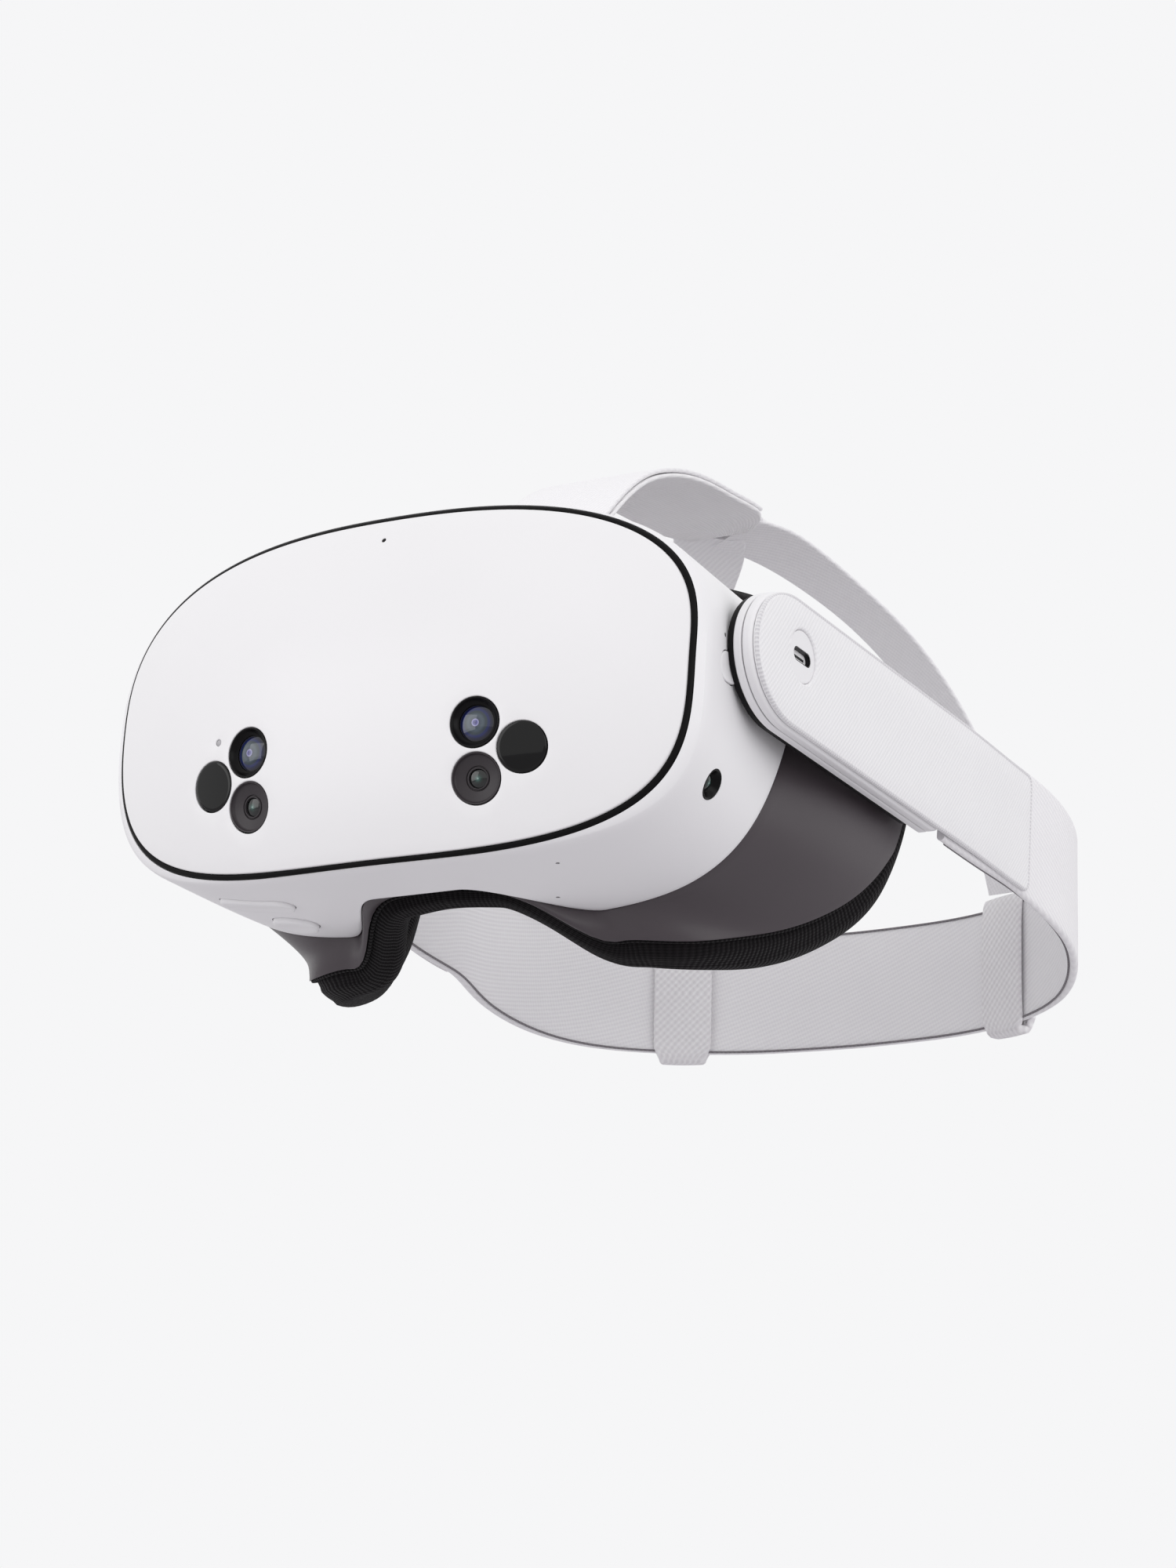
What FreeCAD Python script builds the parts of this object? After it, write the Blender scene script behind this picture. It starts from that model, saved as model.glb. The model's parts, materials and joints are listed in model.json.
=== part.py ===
import FreeCAD, Part

import math
import os

from FreeCAD import Vector

# A stand-alone virtual reality headset: visor, facial interface, two arms and a soft strap.
# Modelling axes in millimetres: X across the face (the wearer's left is +X), Y from the front of
# the visor back towards the head, Z up.  Y = 0 is the front-most point, Z = 0 the faceplate's middle.
# Every piece is moved at the end so that the origin is at the bottom centre of the whole headset.

os.makedirs("parts", exist_ok=True)

# ---- visor front -------------------------------------------------------------------------------
FACE_HALF_WIDTH = 86.4          # faceplate, centre to side
FACE_TOP = 43.7                 # faceplate, outline centre to top edge
FACE_BOTTOM = 49.2              # faceplate, outline centre to bottom edge
FACE_CENTRE_Z = 2.4             # height of the outline's widest line
FACE_TOP_POWER = 2.76           # squareness of the upper half of the outline
FACE_BOTTOM_POWER = 3.33        # squareness of the lower half
FRONT_RADIUS_X = 245.1          # sideways radius of the front surface at its crest
FRONT_WRAP = 6.16e-8            # extra wrap towards the temples, per mm cubed
FRONT_RADIUS_Z = 113.9          # upright radius of the front surface
FRONT_CREST_Z = -10.4           # height of the front-most point
FACEPLATE_THICKNESS = 2.2
GASKET_WIDTH = 1.4
GASKET_SINK = 0.3               # gasket set back behind the faceplate
GASKET_CLEARANCE = 0.05         # between the gasket and its seat in the housing
RIM_SINK = 0.8                  # housing rim set back behind the faceplate
REBATE_DEPTH = 3.2              # depth of the seat for faceplate and gasket

# ---- housing -----------------------------------------------------------------------------------
RIM_WIDTH = 0.8                 # white rim outside the gasket, at the side
HOUSING_TAPER = 0.136           # half width lost per mm of depth
HOUSING_TOP_TAPER = 0.05        # top height lost per mm of depth
HOUSING_BOTTOM_FLARE = 0.078    # bottom depth gained per mm of depth
RIM_DEPTH_SIDE = 36.0           # depth of the rim at the sides, where RIM_WIDTH is measured
REAR_POWER = 4.0                # squareness of the lower half at the rear edge
HOUSING_WALL = 2.4
SEAT_WALL = 3.2
EDGE_LOW_Y = 62.0               # rear edge of the housing at the cheeks
EDGE_HIGH_Y = 90.0              # rear edge of the housing at the temples
EDGE_RISE = 65.0                # height over which the rear edge runs from low to high
FOREHEAD_CUT = 10.0             # rear edge further forward at the forehead
NOSE_CUT = 30.0                 # rear edge further forward over the nose
NOSE_HALF_INNER = 12.0          # half width of the full nose cut
NOSE_HALF_OUTER = 40.0          # half width where the nose cut has run out
RING_POINTS = 72                # points on each closed outline

# ---- sensors -----------------------------------------------------------------------------------
SENSOR_RADIUS = 6.75            # round holes in the faceplate
SENSOR_CLEARANCE = 0.1
SENSOR_DEPTH = 9.0
SENSOR_X = 34.5
COLOUR_CAMERA_Z = -15.2
TRACKING_CAMERA_Z = -29.5
INFRARED_X = 46.9
INFRARED_Z = -22.4
RECESS_DEPTH = 2.2              # bevelled recess in front of a camera lens
RECESS_RATIO = 0.82             # recess mouth over the camera's radius
RECESS_LEDGE = 0.4              # ledge round the lens at the bottom of the recess
LENS_GLASS_RATIO = 0.49         # lens radius over the camera's radius
LENS_GLASS_THICKNESS = 2.0
LENS_DOME = 0.6                 # dome of the lens above its seat
LED_X = -45.0
LED_Z = -11.0
LED_RADIUS = 0.9
PINHOLE_RADIUS = 0.5
PINHOLE_Z = 40.0
SIDE_CAMERA_Y = 36.0
SIDE_CAMERA_ANGLE = -32.0       # position round the housing, degrees below the widest line
SIDE_CAMERA_RADIUS = 4.2
SIDE_CAMERA_DEPTH = 7.0

# ---- buttons -----------------------------------------------------------------------------------
BUTTON_CLEARANCE = 0.35
POWER_Y = 37.0
POWER_Z = 1.0
POWER_LENGTH = 10.5
POWER_HEIGHT = 8.0
VOLUME_X = -49.0
VOLUME_Y = 31.0
VOLUME_LENGTH = 22.5
VOLUME_WIDTH = 8.0
VOLUME_PIVOT_Z = -43.4
VOLUME_AXLE_RADIUS = 1.0
VOLUME_AXLE_LENGTH = 11.0
ACTION_X = -48.0
ACTION_Y = 48.0
ACTION_LENGTH = 13.0
ACTION_WIDTH = 11.0
BUTTON_PROUD = 0.9              # how far a button stands out of the housing
BUTTON_BODY = 5.0               # depth of a button's body behind the housing surface
BUTTON_SEAT = 12.0              # length of the cutter for a button's opening

# ---- inside the visor --------------------------------------------------------------------------
CHASSIS_Y = 41.0
CHASSIS_THICKNESS = 2.5
CHASSIS_CLEARANCE = 0.8
WINDOW_HALF_WIDTH = 66.0
WINDOW_HALF_HEIGHT = 31.0
SCREW_RADIUS = 1.5
SCREW_HEAD_RADIUS = 2.6
SCREW_LENGTH = 6.0
BOARD_Y = 17.0
BOARD_THICKNESS = 1.2
BOARD_WIDTH = 96.0
BOARD_LOW_Z = -34.0
BOARD_HIGH_Z = 34.0
FAN_Z = 12.0
FAN_RADIUS = 19.0
FAN_DEPTH = 8.0
FAN_WALL = 1.2
FAN_BLADES = 9
FAN_GAP = 0.6
HEAT_SINK_WIDTH = 20.0
HEAT_SINK_HEIGHT = 34.0
HEAT_SINK_FINS = 8
FIN_THICKNESS = 0.8
BATTERY_WIDTH = 84.0
BATTERY_HEIGHT = 22.0
BATTERY_DEPTH = 8.0
BATTERY_TOP_Z = -10.0
DISPLAY_Y = 29.0
DISPLAY_WIDTH = 124.0
DISPLAY_HEIGHT = 56.0
DISPLAY_THICKNESS = 1.6
DISPLAY_FRAME_BORDER = 4.0
DISPLAY_FRAME_DEPTH = 3.0
EYE_HALF_SPACING = 31.5
BARREL_FRONT_RADIUS = 27.0
BARREL_REAR_RADIUS = 24.5
BARREL_GAP = 0.5                # between the display frame and a lens barrel
BARREL_REAR_Y = 61.0
BARREL_WALL = 1.6
OPTIC_THICKNESS = 4.0
LENS_TRAVEL = 2.5
SHROUD_Y = 55.0
SHROUD_THICKNESS = 1.6
SHROUD_INSET = 10.0
SHROUD_TOP = 33.0
SHROUD_BOTTOM = -33.0
SHROUD_HOLE_CLEARANCE = 0.6
PROXIMITY_WIDTH = 5.0
PROXIMITY_HEIGHT = 9.0
PROXIMITY_Z = 24.0

# ---- facial interface --------------------------------------------------------------------------
COLLAR_DEPTH = 5.0              # how far the interface frame reaches into the housing
COLLAR_CLEARANCE = 1.0
FRAME_WALL = 2.0
FRAME_STEP = 0.5                # frame set in from the housing's surface
FRAME_GAP = 0.4                 # gap behind the housing's rear edge
FOAM_RADIUS = 8.0
NOSE_FOAM_RADIUS = 5.2          # thinner stretch over the nose
NOSE_FOAM_REACH = 26.0          # half width of the thin stretch
FOAM_SEAT_GAP = 1.8             # from the foam to the frame's rear edge
SEAT_TURN_LOW = 10.0            # degrees the same edge is turned outward, at the cheeks
SEAT_TURN_SIDE = 46.0           # at the temples
SEAT_TURN_TOP = 20.0            # and at the forehead
TEMPLE_X = 77.0                 # middle of the foam at the temple
TEMPLE_Y = 147.0
CHEEK_Z = -59.5                 # middle of the foam at its lowest
FOREHEAD_Y = 95.0
FOREHEAD_Z = 42.0
BRIDGE_Y = 49.0                 # middle of the foam over the bridge of the nose
BRIDGE_Z = -45.0

# ---- arms --------------------------------------------------------------------------------------
PIVOT_Y = 57.0
PIVOT_Z = 6.5
ARM_SLOPE = 4.9                 # degrees, arm falling towards the rear
ARM_HALF_HEIGHT = 18.0
ARM_NOSE_LENGTH = 22.0          # elliptical front end, ahead of the pivot
ARM_INNER_X = 89.6              # inner face of the arm's inner shell
ARM_SEAM_X = 92.6
ARM_OUTER_X = 96.0
SEAM_GAP = 0.2
ARM_LENGTH = 92.0               # rigid shells, pivot to rear end
COVER_THICKNESS = 1.2
COVER_LENGTH = 148.0            # fabric cover, pivot to rear end
COVER_GAP = 0.1
CHAMBER_START = 34.0            # speaker chamber on the inner face
CHAMBER_HALF_HEIGHT = 14.0
CHAMBER_X = 86.6
SPEAKER_LENGTH = 32.0
SPEAKER_HALF_HEIGHT = 9.0
SPEAKER_THICKNESS = 3.4
PIN_RADIUS = 5.0
PIN_CLEARANCE = 0.05
PIN_FLANGE_RADIUS = 9.0
PIN_INNER_X = 79.0
PORT_U = 3.0                    # USB-C socket, behind the pivot along the arm
PORT_V = 2.5
PORT_LENGTH = 8.9
PORT_HEIGHT = 3.2
PORT_WALL = 0.3
PORT_DEPTH = 4.4
TRIM_RADIUS = 7.0

# ---- strap -------------------------------------------------------------------------------------
BAND_THICKNESS = 2.4
BAND_HEIGHT = 37.0
BAND_X = 94.5
BAND_REAR_Y = 288.5
BAND_REAR_Z = -27.0
BAND_START_GAP = 1.6            # behind the arm's rigid shells
STRAP_THICKNESS = 1.3
LAYER_GAP = 0.2
TOP_WIDTH = 36.0
Y_WIDTH = 24.0
LEG_WIDTH = 18.0
LEG_X = 56.5
LOOP_WALL = 1.4
LOOP_CLEARANCE = 1.0
LOOP_WIDTH = 18.0
LOOP_DROP = 1.5                 # play under and over the band inside the loop
TAB_START_Y = 66.0
TAB_END_Y = 91.0
TOP_START_Y = 101.0
CROWN_Y = 200.0
CROWN_Z = 94.5
HEAD_CENTRE_Y = 160.0


# ---- outlines of the visor ---------------------------------------------------------------------
def smooth_step(value):
    """0 below 0, 1 above 1, and a smooth S between."""
    clamped = min(1.0, max(0.0, value))
    return clamped * clamped * (3.0 - 2.0 * clamped)


def front_depth(x, z):
    """Y of the curved front surface."""
    return x * x / (2 * FRONT_RADIUS_X) + FRONT_WRAP * x**4 + (z - FRONT_CREST_Z)**2 / (2 * FRONT_RADIUS_Z)


def superellipse(angle, half_width, top, bottom, top_power, bottom_power):
    """Point (x, z) on the visor's outline at an angle in degrees, counted from +X towards +Z."""
    c = math.cos(math.radians(angle))
    s = math.sin(math.radians(angle))
    height = top if s >= 0 else bottom
    power = top_power if s >= 0 else bottom_power
    stretch = (abs(c)**power + abs(s)**power)**(-1.0 / power)
    return half_width * c * stretch, FACE_CENTRE_Z + height * s * stretch


def face_point(angle, grow, sink):
    """Point on the faceplate's outline grown by grow, sink behind the front surface."""
    x, z = superellipse(angle, FACE_HALF_WIDTH + grow, FACE_TOP + grow, FACE_BOTTOM + grow,
                        FACE_TOP_POWER, FACE_BOTTOM_POWER)
    return Vector(x, front_depth(x, z) + sink, z)


def housing_point(angle, y, inset):
    """Point of the housing's outer surface at depth y, moved inward by inset."""
    border = GASKET_WIDTH + RIM_WIDTH
    half_width = FACE_HALF_WIDTH + border + HOUSING_TAPER * (RIM_DEPTH_SIDE - y) - inset
    top = FACE_TOP + border + HOUSING_TOP_TAPER * (RIM_DEPTH_SIDE / 2 - y) - inset
    bottom = FACE_BOTTOM + border / 2 + HOUSING_BOTTOM_FLARE * y - inset
    blend = smooth_step(y / EDGE_LOW_Y)
    bottom_power = FACE_BOTTOM_POWER + (REAR_POWER - FACE_BOTTOM_POWER) * blend
    x, z = superellipse(angle, half_width, top, bottom, FACE_TOP_POWER, bottom_power)
    return Vector(x, y, z)


def rim_point(angle, sink, inset):
    """Point where the housing's surface, moved inward, meets the front surface set back by sink."""
    point = face_point(angle, GASKET_WIDTH, sink)
    for _ in range(4):
        point = housing_point(angle, front_depth(point.x, point.z) + sink, inset)
    return Vector(point.x, front_depth(point.x, point.z) + sink, point.z)


def edge_depth(angle):
    """Y of the housing's rear edge at an angle round the outline."""
    nominal = housing_point(angle, EDGE_LOW_Y, 0)
    floor_z = FACE_CENTRE_Z - FACE_BOTTOM
    depth = EDGE_LOW_Y + (EDGE_HIGH_Y - EDGE_LOW_Y) * smooth_step((nominal.z - floor_z) / EDGE_RISE)
    across = 1.0 - (nominal.x / FACE_HALF_WIDTH)**2
    depth -= FOREHEAD_CUT * max(0.0, across) * smooth_step(nominal.z / FACE_TOP)
    if nominal.z < 0:
        run_out = (abs(nominal.x) - NOSE_HALF_INNER) / (NOSE_HALF_OUTER - NOSE_HALF_INNER)
        depth -= NOSE_CUT * (1.0 - smooth_step(run_out))
    return depth


def edge_point(angle, behind, inset):
    """Point on the housing's rear edge, behind it by a distance and moved inward by inset."""
    return housing_point(angle, edge_depth(angle) + behind, inset)


def ring(point_at):
    """Closed smooth wire through point_at(angle)."""
    points = [point_at(360.0 * i / RING_POINTS - 90.0) for i in range(RING_POINTS)]
    curve = Part.BSplineCurve()
    curve.interpolate(Points=points, PeriodicFlag=True)
    return Part.Wire([curve.toShape()])


def band_solid(outer, inner):
    """Tube wall between two chains of rings; both chains run from the front ring to the rear ring."""
    chain = outer + inner[::-1]
    faces = []
    for first, second in zip(chain, chain[1:] + chain[:1]):
        faces += Part.makeLoft([first, second], False, True).Faces
    shell = Part.Shell(faces)
    shell.sewShape()
    solid = Part.Solid(shell)
    if solid.Volume < 0:
        solid.reverse()
    return solid


# ---- general helpers ---------------------------------------------------------------------------
def box(x0, x1, y0, y1, z0, z1):
    """Box between two corners."""
    return Part.makeBox(x1 - x0, y1 - y0, z1 - z0, Vector(x0, y0, z0))


def cylinder_y(radius, x, y0, y1, z):
    """Cylinder along Y."""
    return Part.makeCylinder(radius, y1 - y0, Vector(x, y0, z), Vector(0, 1, 0))


def cylinder_x(radius, x0, x1, y, z):
    """Cylinder along X."""
    return Part.makeCylinder(radius, x1 - x0, Vector(x0, y, z), Vector(1, 0, 0))


def mirrored(shape):
    """The same piece on the wearer's other side."""
    return shape.mirror(Vector(0, 0, 0), Vector(1, 0, 0))


def pill(length, width, depth):
    """Stadium block: length along X, width along Y, from Z = 0 up to depth."""
    radius = width / 2
    reach = max(length / 2 - radius, 0.01)
    block = box(-reach, reach, -radius, radius, 0, depth)
    for side in (-1, 1):
        block = block.fuse(Part.makeCylinder(radius, depth, Vector(side * reach, 0, 0)))
    return block.removeSplitter()


def oval(length, width, depth):
    """Elliptical block: length along Y, width along X, from Z = 0 up to depth."""
    curve = Part.Ellipse(Vector(0, length / 2, 0), Vector(-width / 2, 0, 0), Vector(0, 0, 0))
    return Part.Face(Part.Wire([curve.toShape()])).extrude(Vector(0, 0, depth))


def seated(shape, point, direction):
    """A shape modelled round +Z, stood at a point with its +Z along direction."""
    moved = shape.copy()
    moved.Placement = FreeCAD.Placement(point, FreeCAD.Rotation(Vector(0, 0, 1), direction))
    return moved


def strap_solid(path, width, thickness, width_direction):
    """Flat strap along a smooth path; width_direction(point, tangent) gives the way across it."""
    curve = Part.BSplineCurve()
    curve.interpolate(Points=path)
    first = curve.FirstParameter
    span = curve.LastParameter - first
    stations = 2 * len(path) + 1
    wires = []
    for i in range(stations):
        parameter = first + span * i / (stations - 1)
        centre = curve.value(parameter)
        tangent = Vector(*curve.tangent(parameter)[0])
        across = width_direction(centre, tangent)
        normal = tangent.cross(across).normalize()
        across = normal.cross(tangent).normalize()
        half_w = across * (width / 2)
        half_t = normal * (thickness / 2)
        corners = [centre - half_w - half_t, centre + half_w - half_t,
                   centre + half_w + half_t, centre - half_w + half_t]
        wires.append(Part.makePolygon(corners + corners[:1]))
    return Part.makeLoft(wires, True, False)


# ---- faceplate, gasket, housing ----------------------------------------------------------------
def front_sheet(sink):
    """Curved face of the front surface, larger than the visor, set back by sink."""
    half_w = FACE_HALF_WIDTH + 15
    half_h = FACE_BOTTOM + 15
    columns = 15
    rows = 9
    grid = []
    for i in range(columns):
        x = -half_w + 2 * half_w * i / (columns - 1)
        row = []
        for j in range(rows):
            z = FACE_CENTRE_Z - half_h + 2 * half_h * j / (rows - 1)
            row.append(Vector(x, front_depth(x, z) + sink, z))
        grid.append(row)
    surface = Part.BSplineSurface()
    surface.interpolate(grid)
    return surface.toShape()


def front_slab(sink, thickness):
    """Curved slab of a thickness, sink behind the front surface."""
    return front_sheet(sink).extrude(Vector(0, thickness, 0))


def face_prism(grow):
    """Straight prism along Y with the faceplate's outline grown by grow."""
    points = [face_point(360.0 * i / RING_POINTS, grow, 0) for i in range(RING_POINTS)]
    flat = [Vector(p.x, -5, p.z) for p in points]
    curve = Part.BSplineCurve()
    curve.interpolate(Points=flat, PeriodicFlag=True)
    return Part.Face(Part.Wire([curve.toShape()])).extrude(Vector(0, 100, 0))


def inward_normal(x, z):
    """Direction into the visor, square to the front surface."""
    step = 0.1
    slope_x = (front_depth(x + step, z) - front_depth(x - step, z)) / (2 * step)
    slope_z = (front_depth(x, z + step) - front_depth(x, z - step)) / (2 * step)
    return Vector(-slope_x, 1, -slope_z).normalize()


def on_front(shape, x, z, sink):
    """A shape modelled round +Z, its Z = 0 plane set sink below the front surface at (x, z)."""
    direction = inward_normal(x, z)
    point = Vector(x, front_depth(x, z), z) + direction * sink
    return seated(shape, point, direction)


def sensor_places():
    """(x, z) of the three round sensors on the wearer's left side."""
    return [(SENSOR_X, COLOUR_CAMERA_Z), (SENSOR_X, TRACKING_CAMERA_Z), (INFRARED_X, INFRARED_Z)]


def faceplate():
    plate = face_prism(0).common(front_slab(0, FACEPLATE_THICKNESS))
    hole = Part.makeCylinder(SENSOR_RADIUS, 4 * FACEPLATE_THICKNESS)
    for x, z in sensor_places():
        for side in (-1, 1):
            plate = plate.cut(on_front(hole, side * x, z, -2 * FACEPLATE_THICKNESS))
    small = Part.makeCylinder(LED_RADIUS, 4 * FACEPLATE_THICKNESS)
    plate = plate.cut(on_front(small, LED_X, LED_Z, -2 * FACEPLATE_THICKNESS))
    pin = Part.makeCylinder(PINHOLE_RADIUS, 4 * FACEPLATE_THICKNESS)
    return plate.cut(on_front(pin, 0, PINHOLE_Z, -2 * FACEPLATE_THICKNESS))


def faceplate_gasket():
    depth = REBATE_DEPTH - GASKET_SINK - GASKET_CLEARANCE
    strip = face_prism(GASKET_WIDTH).cut(face_prism(0))
    return strip.common(front_slab(GASKET_SINK, depth))


def housing_frame(angle, y):
    """Point and outward normal of the housing's surface."""
    point = housing_point(angle, y, 0)
    along = housing_point(angle, y + 0.5, 0) - housing_point(angle, y - 0.5, 0)
    around = housing_point(angle + 0.5, y, 0) - housing_point(angle - 0.5, y, 0)
    return point, along.cross(around).normalize()


def bottom_angle(x, y):
    """Angle whose point on the housing's underside at depth y has this x."""
    low, high = (-179.0, -90.0) if x < 0 else (-90.0, -1.0)
    for _ in range(40):
        middle = (low + high) / 2
        if housing_point(middle, y, 0).x < x:
            low = middle
        else:
            high = middle
    return (low + high) / 2


def side_angle(y, z):
    """Angle whose point on the housing's left side at depth y has this z."""
    low, high = -60.0, 60.0
    for _ in range(40):
        middle = (low + high) / 2
        if housing_point(middle, y, 0).z < z:
            low = middle
        else:
            high = middle
    return (low + high) / 2


def on_housing(shape):
    """A shape modelled round +Z, seated at the left side camera's place with +Z outward."""
    point, outward = housing_frame(SIDE_CAMERA_ANGLE, SIDE_CAMERA_Y)
    return seated(shape, point, outward)


def button_seats():
    """The three button openings: a cutter for each, wider than the button by the clearance."""
    extra = 2 * BUTTON_CLEARANCE
    power = pill(POWER_LENGTH + extra, POWER_HEIGHT + extra, BUTTON_SEAT)
    volume = pill(VOLUME_LENGTH + extra, VOLUME_WIDTH + extra, BUTTON_SEAT)
    action = oval(ACTION_LENGTH + extra, ACTION_WIDTH + extra, BUTTON_SEAT)
    for cutter in (power, volume, action):
        cutter.translate(Vector(0, 0, -BUTTON_SEAT / 2))
    return [placed_power(power), placed_volume(volume), placed_action(action)]


def placed_power(shape):
    """Power button's place: square to the left side, length along the depth."""
    point = housing_point(side_angle(POWER_Y, POWER_Z), POWER_Y, 0)
    moved = shape.copy()
    moved.rotate(Vector(0, 0, 0), Vector(0, 0, 1), 90)
    moved.rotate(Vector(0, 0, 0), Vector(0, 1, 0), 90)
    moved.translate(Vector(point.x, POWER_Y, POWER_Z))
    return moved


def placed_below(shape, x, y):
    """A place on the underside, length across the visor, pointing straight down."""
    point = housing_point(bottom_angle(x, y), y, 0)
    moved = shape.copy()
    moved.rotate(Vector(0, 0, 0), Vector(1, 0, 0), 180)
    moved.translate(Vector(x, y, point.z))
    return moved


def placed_volume(shape):
    """Volume rocker's place, in front of the action button."""
    return placed_below(shape, VOLUME_X, VOLUME_Y)


def placed_action(shape):
    """Action button's place, nearest the face."""
    return placed_below(shape, ACTION_X, ACTION_Y)


def pin_hole(clearance):
    """Cutter for the arm pivot on the left side."""
    return cylinder_x(PIN_RADIUS + clearance, PIN_INNER_X - 5, ARM_SEAM_X, PIVOT_Y, PIVOT_Z)


def housing():
    outer = [ring(lambda a: rim_point(a, RIM_SINK, 0)), ring(lambda a: edge_point(a, 0, 0))]
    opening = GASKET_WIDTH + GASKET_CLEARANCE
    inner = [ring(lambda a: face_point(a, opening, RIM_SINK)),
             ring(lambda a: face_point(a, opening, REBATE_DEPTH)),
             ring(lambda a: rim_point(a, REBATE_DEPTH, SEAT_WALL)),
             ring(lambda a: edge_point(a, 0, HOUSING_WALL))]
    shell = band_solid(outer, inner)
    for cutter in button_seats():
        shell = shell.cut(cutter)
    camera_hole = Part.makeCylinder(SIDE_CAMERA_RADIUS, 2 * SIDE_CAMERA_DEPTH, Vector(0, 0, -SIDE_CAMERA_DEPTH))
    camera_hole = on_housing(camera_hole)
    for cutter in (camera_hole, pin_hole(0)):
        shell = shell.cut(cutter)
        shell = shell.cut(mirrored(cutter))
    return shell


# ---- cameras -----------------------------------------------------------------------------------
def glass_radius(radius):
    """Radius of the lens in a camera body of a radius."""
    return LENS_GLASS_RATIO * radius


def camera_barrel(radius, depth):
    """Round camera body with a bevelled recess, front at Z = 0, running inward along +Z."""
    body = Part.makeCylinder(radius, depth)
    recess = Part.makeCone(RECESS_RATIO * radius, glass_radius(radius) + RECESS_LEDGE, RECESS_DEPTH)
    seat = Part.makeCylinder(glass_radius(radius), RECESS_DEPTH + LENS_GLASS_THICKNESS)
    return body.cut(recess).cut(seat)


def camera_glass(radius):
    """Lens in its seat at the bottom of the recess, domed towards Z = 0."""
    body = Part.makeCylinder(glass_radius(radius), RECESS_DEPTH + LENS_GLASS_THICKNESS)
    ball_radius = 2 * glass_radius(radius)
    ball = Part.makeSphere(ball_radius, Vector(0, 0, RECESS_DEPTH - LENS_DOME + ball_radius))
    return body.common(ball)


def infrared_window():
    return Part.makeCylinder(SENSOR_RADIUS - SENSOR_CLEARANCE, FACEPLATE_THICKNESS)


def status_led():
    return on_front(Part.makeCylinder(LED_RADIUS, FACEPLATE_THICKNESS), LED_X, LED_Z, 0)


def front_cameras(make):
    """The four front camera pieces made by make(radius), keyed by kind and side."""
    radius = SENSOR_RADIUS - SENSOR_CLEARANCE
    pieces = {}
    for kind, z in (("colour_camera", COLOUR_CAMERA_Z), ("tracking_camera", TRACKING_CAMERA_Z)):
        for side_name, side in (("left", 1), ("right", -1)):
            pieces[kind, side_name] = on_front(make(radius), side * SENSOR_X, z, 0)
    return pieces


def side_camera(make):
    """A side camera piece on the left, its front flush with the housing."""
    shape = make(SIDE_CAMERA_RADIUS - SENSOR_CLEARANCE)
    shape.rotate(Vector(0, 0, 0), Vector(1, 0, 0), 180)
    return on_housing(shape)


# ---- buttons -----------------------------------------------------------------------------------
def button(block):
    """Button cap: stands proud of the surface and reaches inward by BUTTON_BODY."""
    block.translate(Vector(0, 0, -BUTTON_BODY))
    return block


def power_button():
    return placed_power(button(pill(POWER_LENGTH, POWER_HEIGHT, BUTTON_BODY + BUTTON_PROUD)))


def volume_rocker():
    """Rocker with a thin axle behind the housing wall."""
    cap = placed_volume(button(pill(VOLUME_LENGTH, VOLUME_WIDTH, BUTTON_BODY + BUTTON_PROUD)))
    half = VOLUME_AXLE_LENGTH / 2
    axle = cylinder_y(VOLUME_AXLE_RADIUS, VOLUME_X, VOLUME_Y - half, VOLUME_Y + half, VOLUME_PIVOT_Z)
    return cap.fuse(axle).removeSplitter()


def action_button():
    return placed_action(button(oval(ACTION_LENGTH, ACTION_WIDTH, BUTTON_BODY + BUTTON_PROUD)))


# ---- inside the visor --------------------------------------------------------------------------
def housing_outline(y, inset):
    """Flat wire just inside the housing at depth y."""
    points = [housing_point(360.0 * i / RING_POINTS, y, inset) for i in range(RING_POINTS)]
    curve = Part.BSplineCurve()
    curve.interpolate(Points=points, PeriodicFlag=True)
    return Part.Wire([curve.toShape()])


def clear_of_buttons(shape):
    """Cut room for the buttons' bodies and their travel."""
    for cutter in button_seats():
        shape = shape.cut(cutter)
    return shape


def nose_clearance():
    """Block of room under the visor for the nose and the interface's bridge."""
    half = NOSE_HALF_OUTER + FOAM_RADIUS + 2
    return box(-half, half, EDGE_LOW_Y - NOSE_CUT - COLLAR_DEPTH - 2, EDGE_HIGH_Y,
               -90, BRIDGE_Z + NOSE_FOAM_RADIUS + 3)


def chassis():
    inset = SEAT_WALL + CHASSIS_CLEARANCE
    plate = Part.Face(housing_outline(CHASSIS_Y, inset)).extrude(Vector(0, CHASSIS_THICKNESS, 0))
    window = box(-WINDOW_HALF_WIDTH, WINDOW_HALF_WIDTH, CHASSIS_Y - 1, CHASSIS_Y + CHASSIS_THICKNESS + 1,
                 -WINDOW_HALF_HEIGHT, WINDOW_HALF_HEIGHT)
    plate = clear_of_buttons(plate.cut(window).cut(nose_clearance()))
    for x, z in screw_places():
        plate = plate.cut(cylinder_y(SCREW_RADIUS, x, CHASSIS_Y - 1, CHASSIS_Y + CHASSIS_THICKNESS + 1, z))
    return plate


def screw_places():
    """(x, z) of the chassis screws."""
    high = WINDOW_HALF_HEIGHT + 6
    return [(side * x, z) for side in (-1, 1) for x, z in ((24.0, high), (58.0, WINDOW_HALF_HEIGHT + 4),
                                                           (74.0, 4.0))]


def chassis_screws():
    screws = []
    for x, z in screw_places():
        head_y = CHASSIS_Y + CHASSIS_THICKNESS
        shank = cylinder_y(SCREW_RADIUS, x, head_y - SCREW_LENGTH, head_y, z)
        head = cylinder_y(SCREW_HEAD_RADIUS, x, head_y, head_y + 1.6, z)
        screws.append(shank.fuse(head).removeSplitter())
    return Part.makeCompound(screws)


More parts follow.
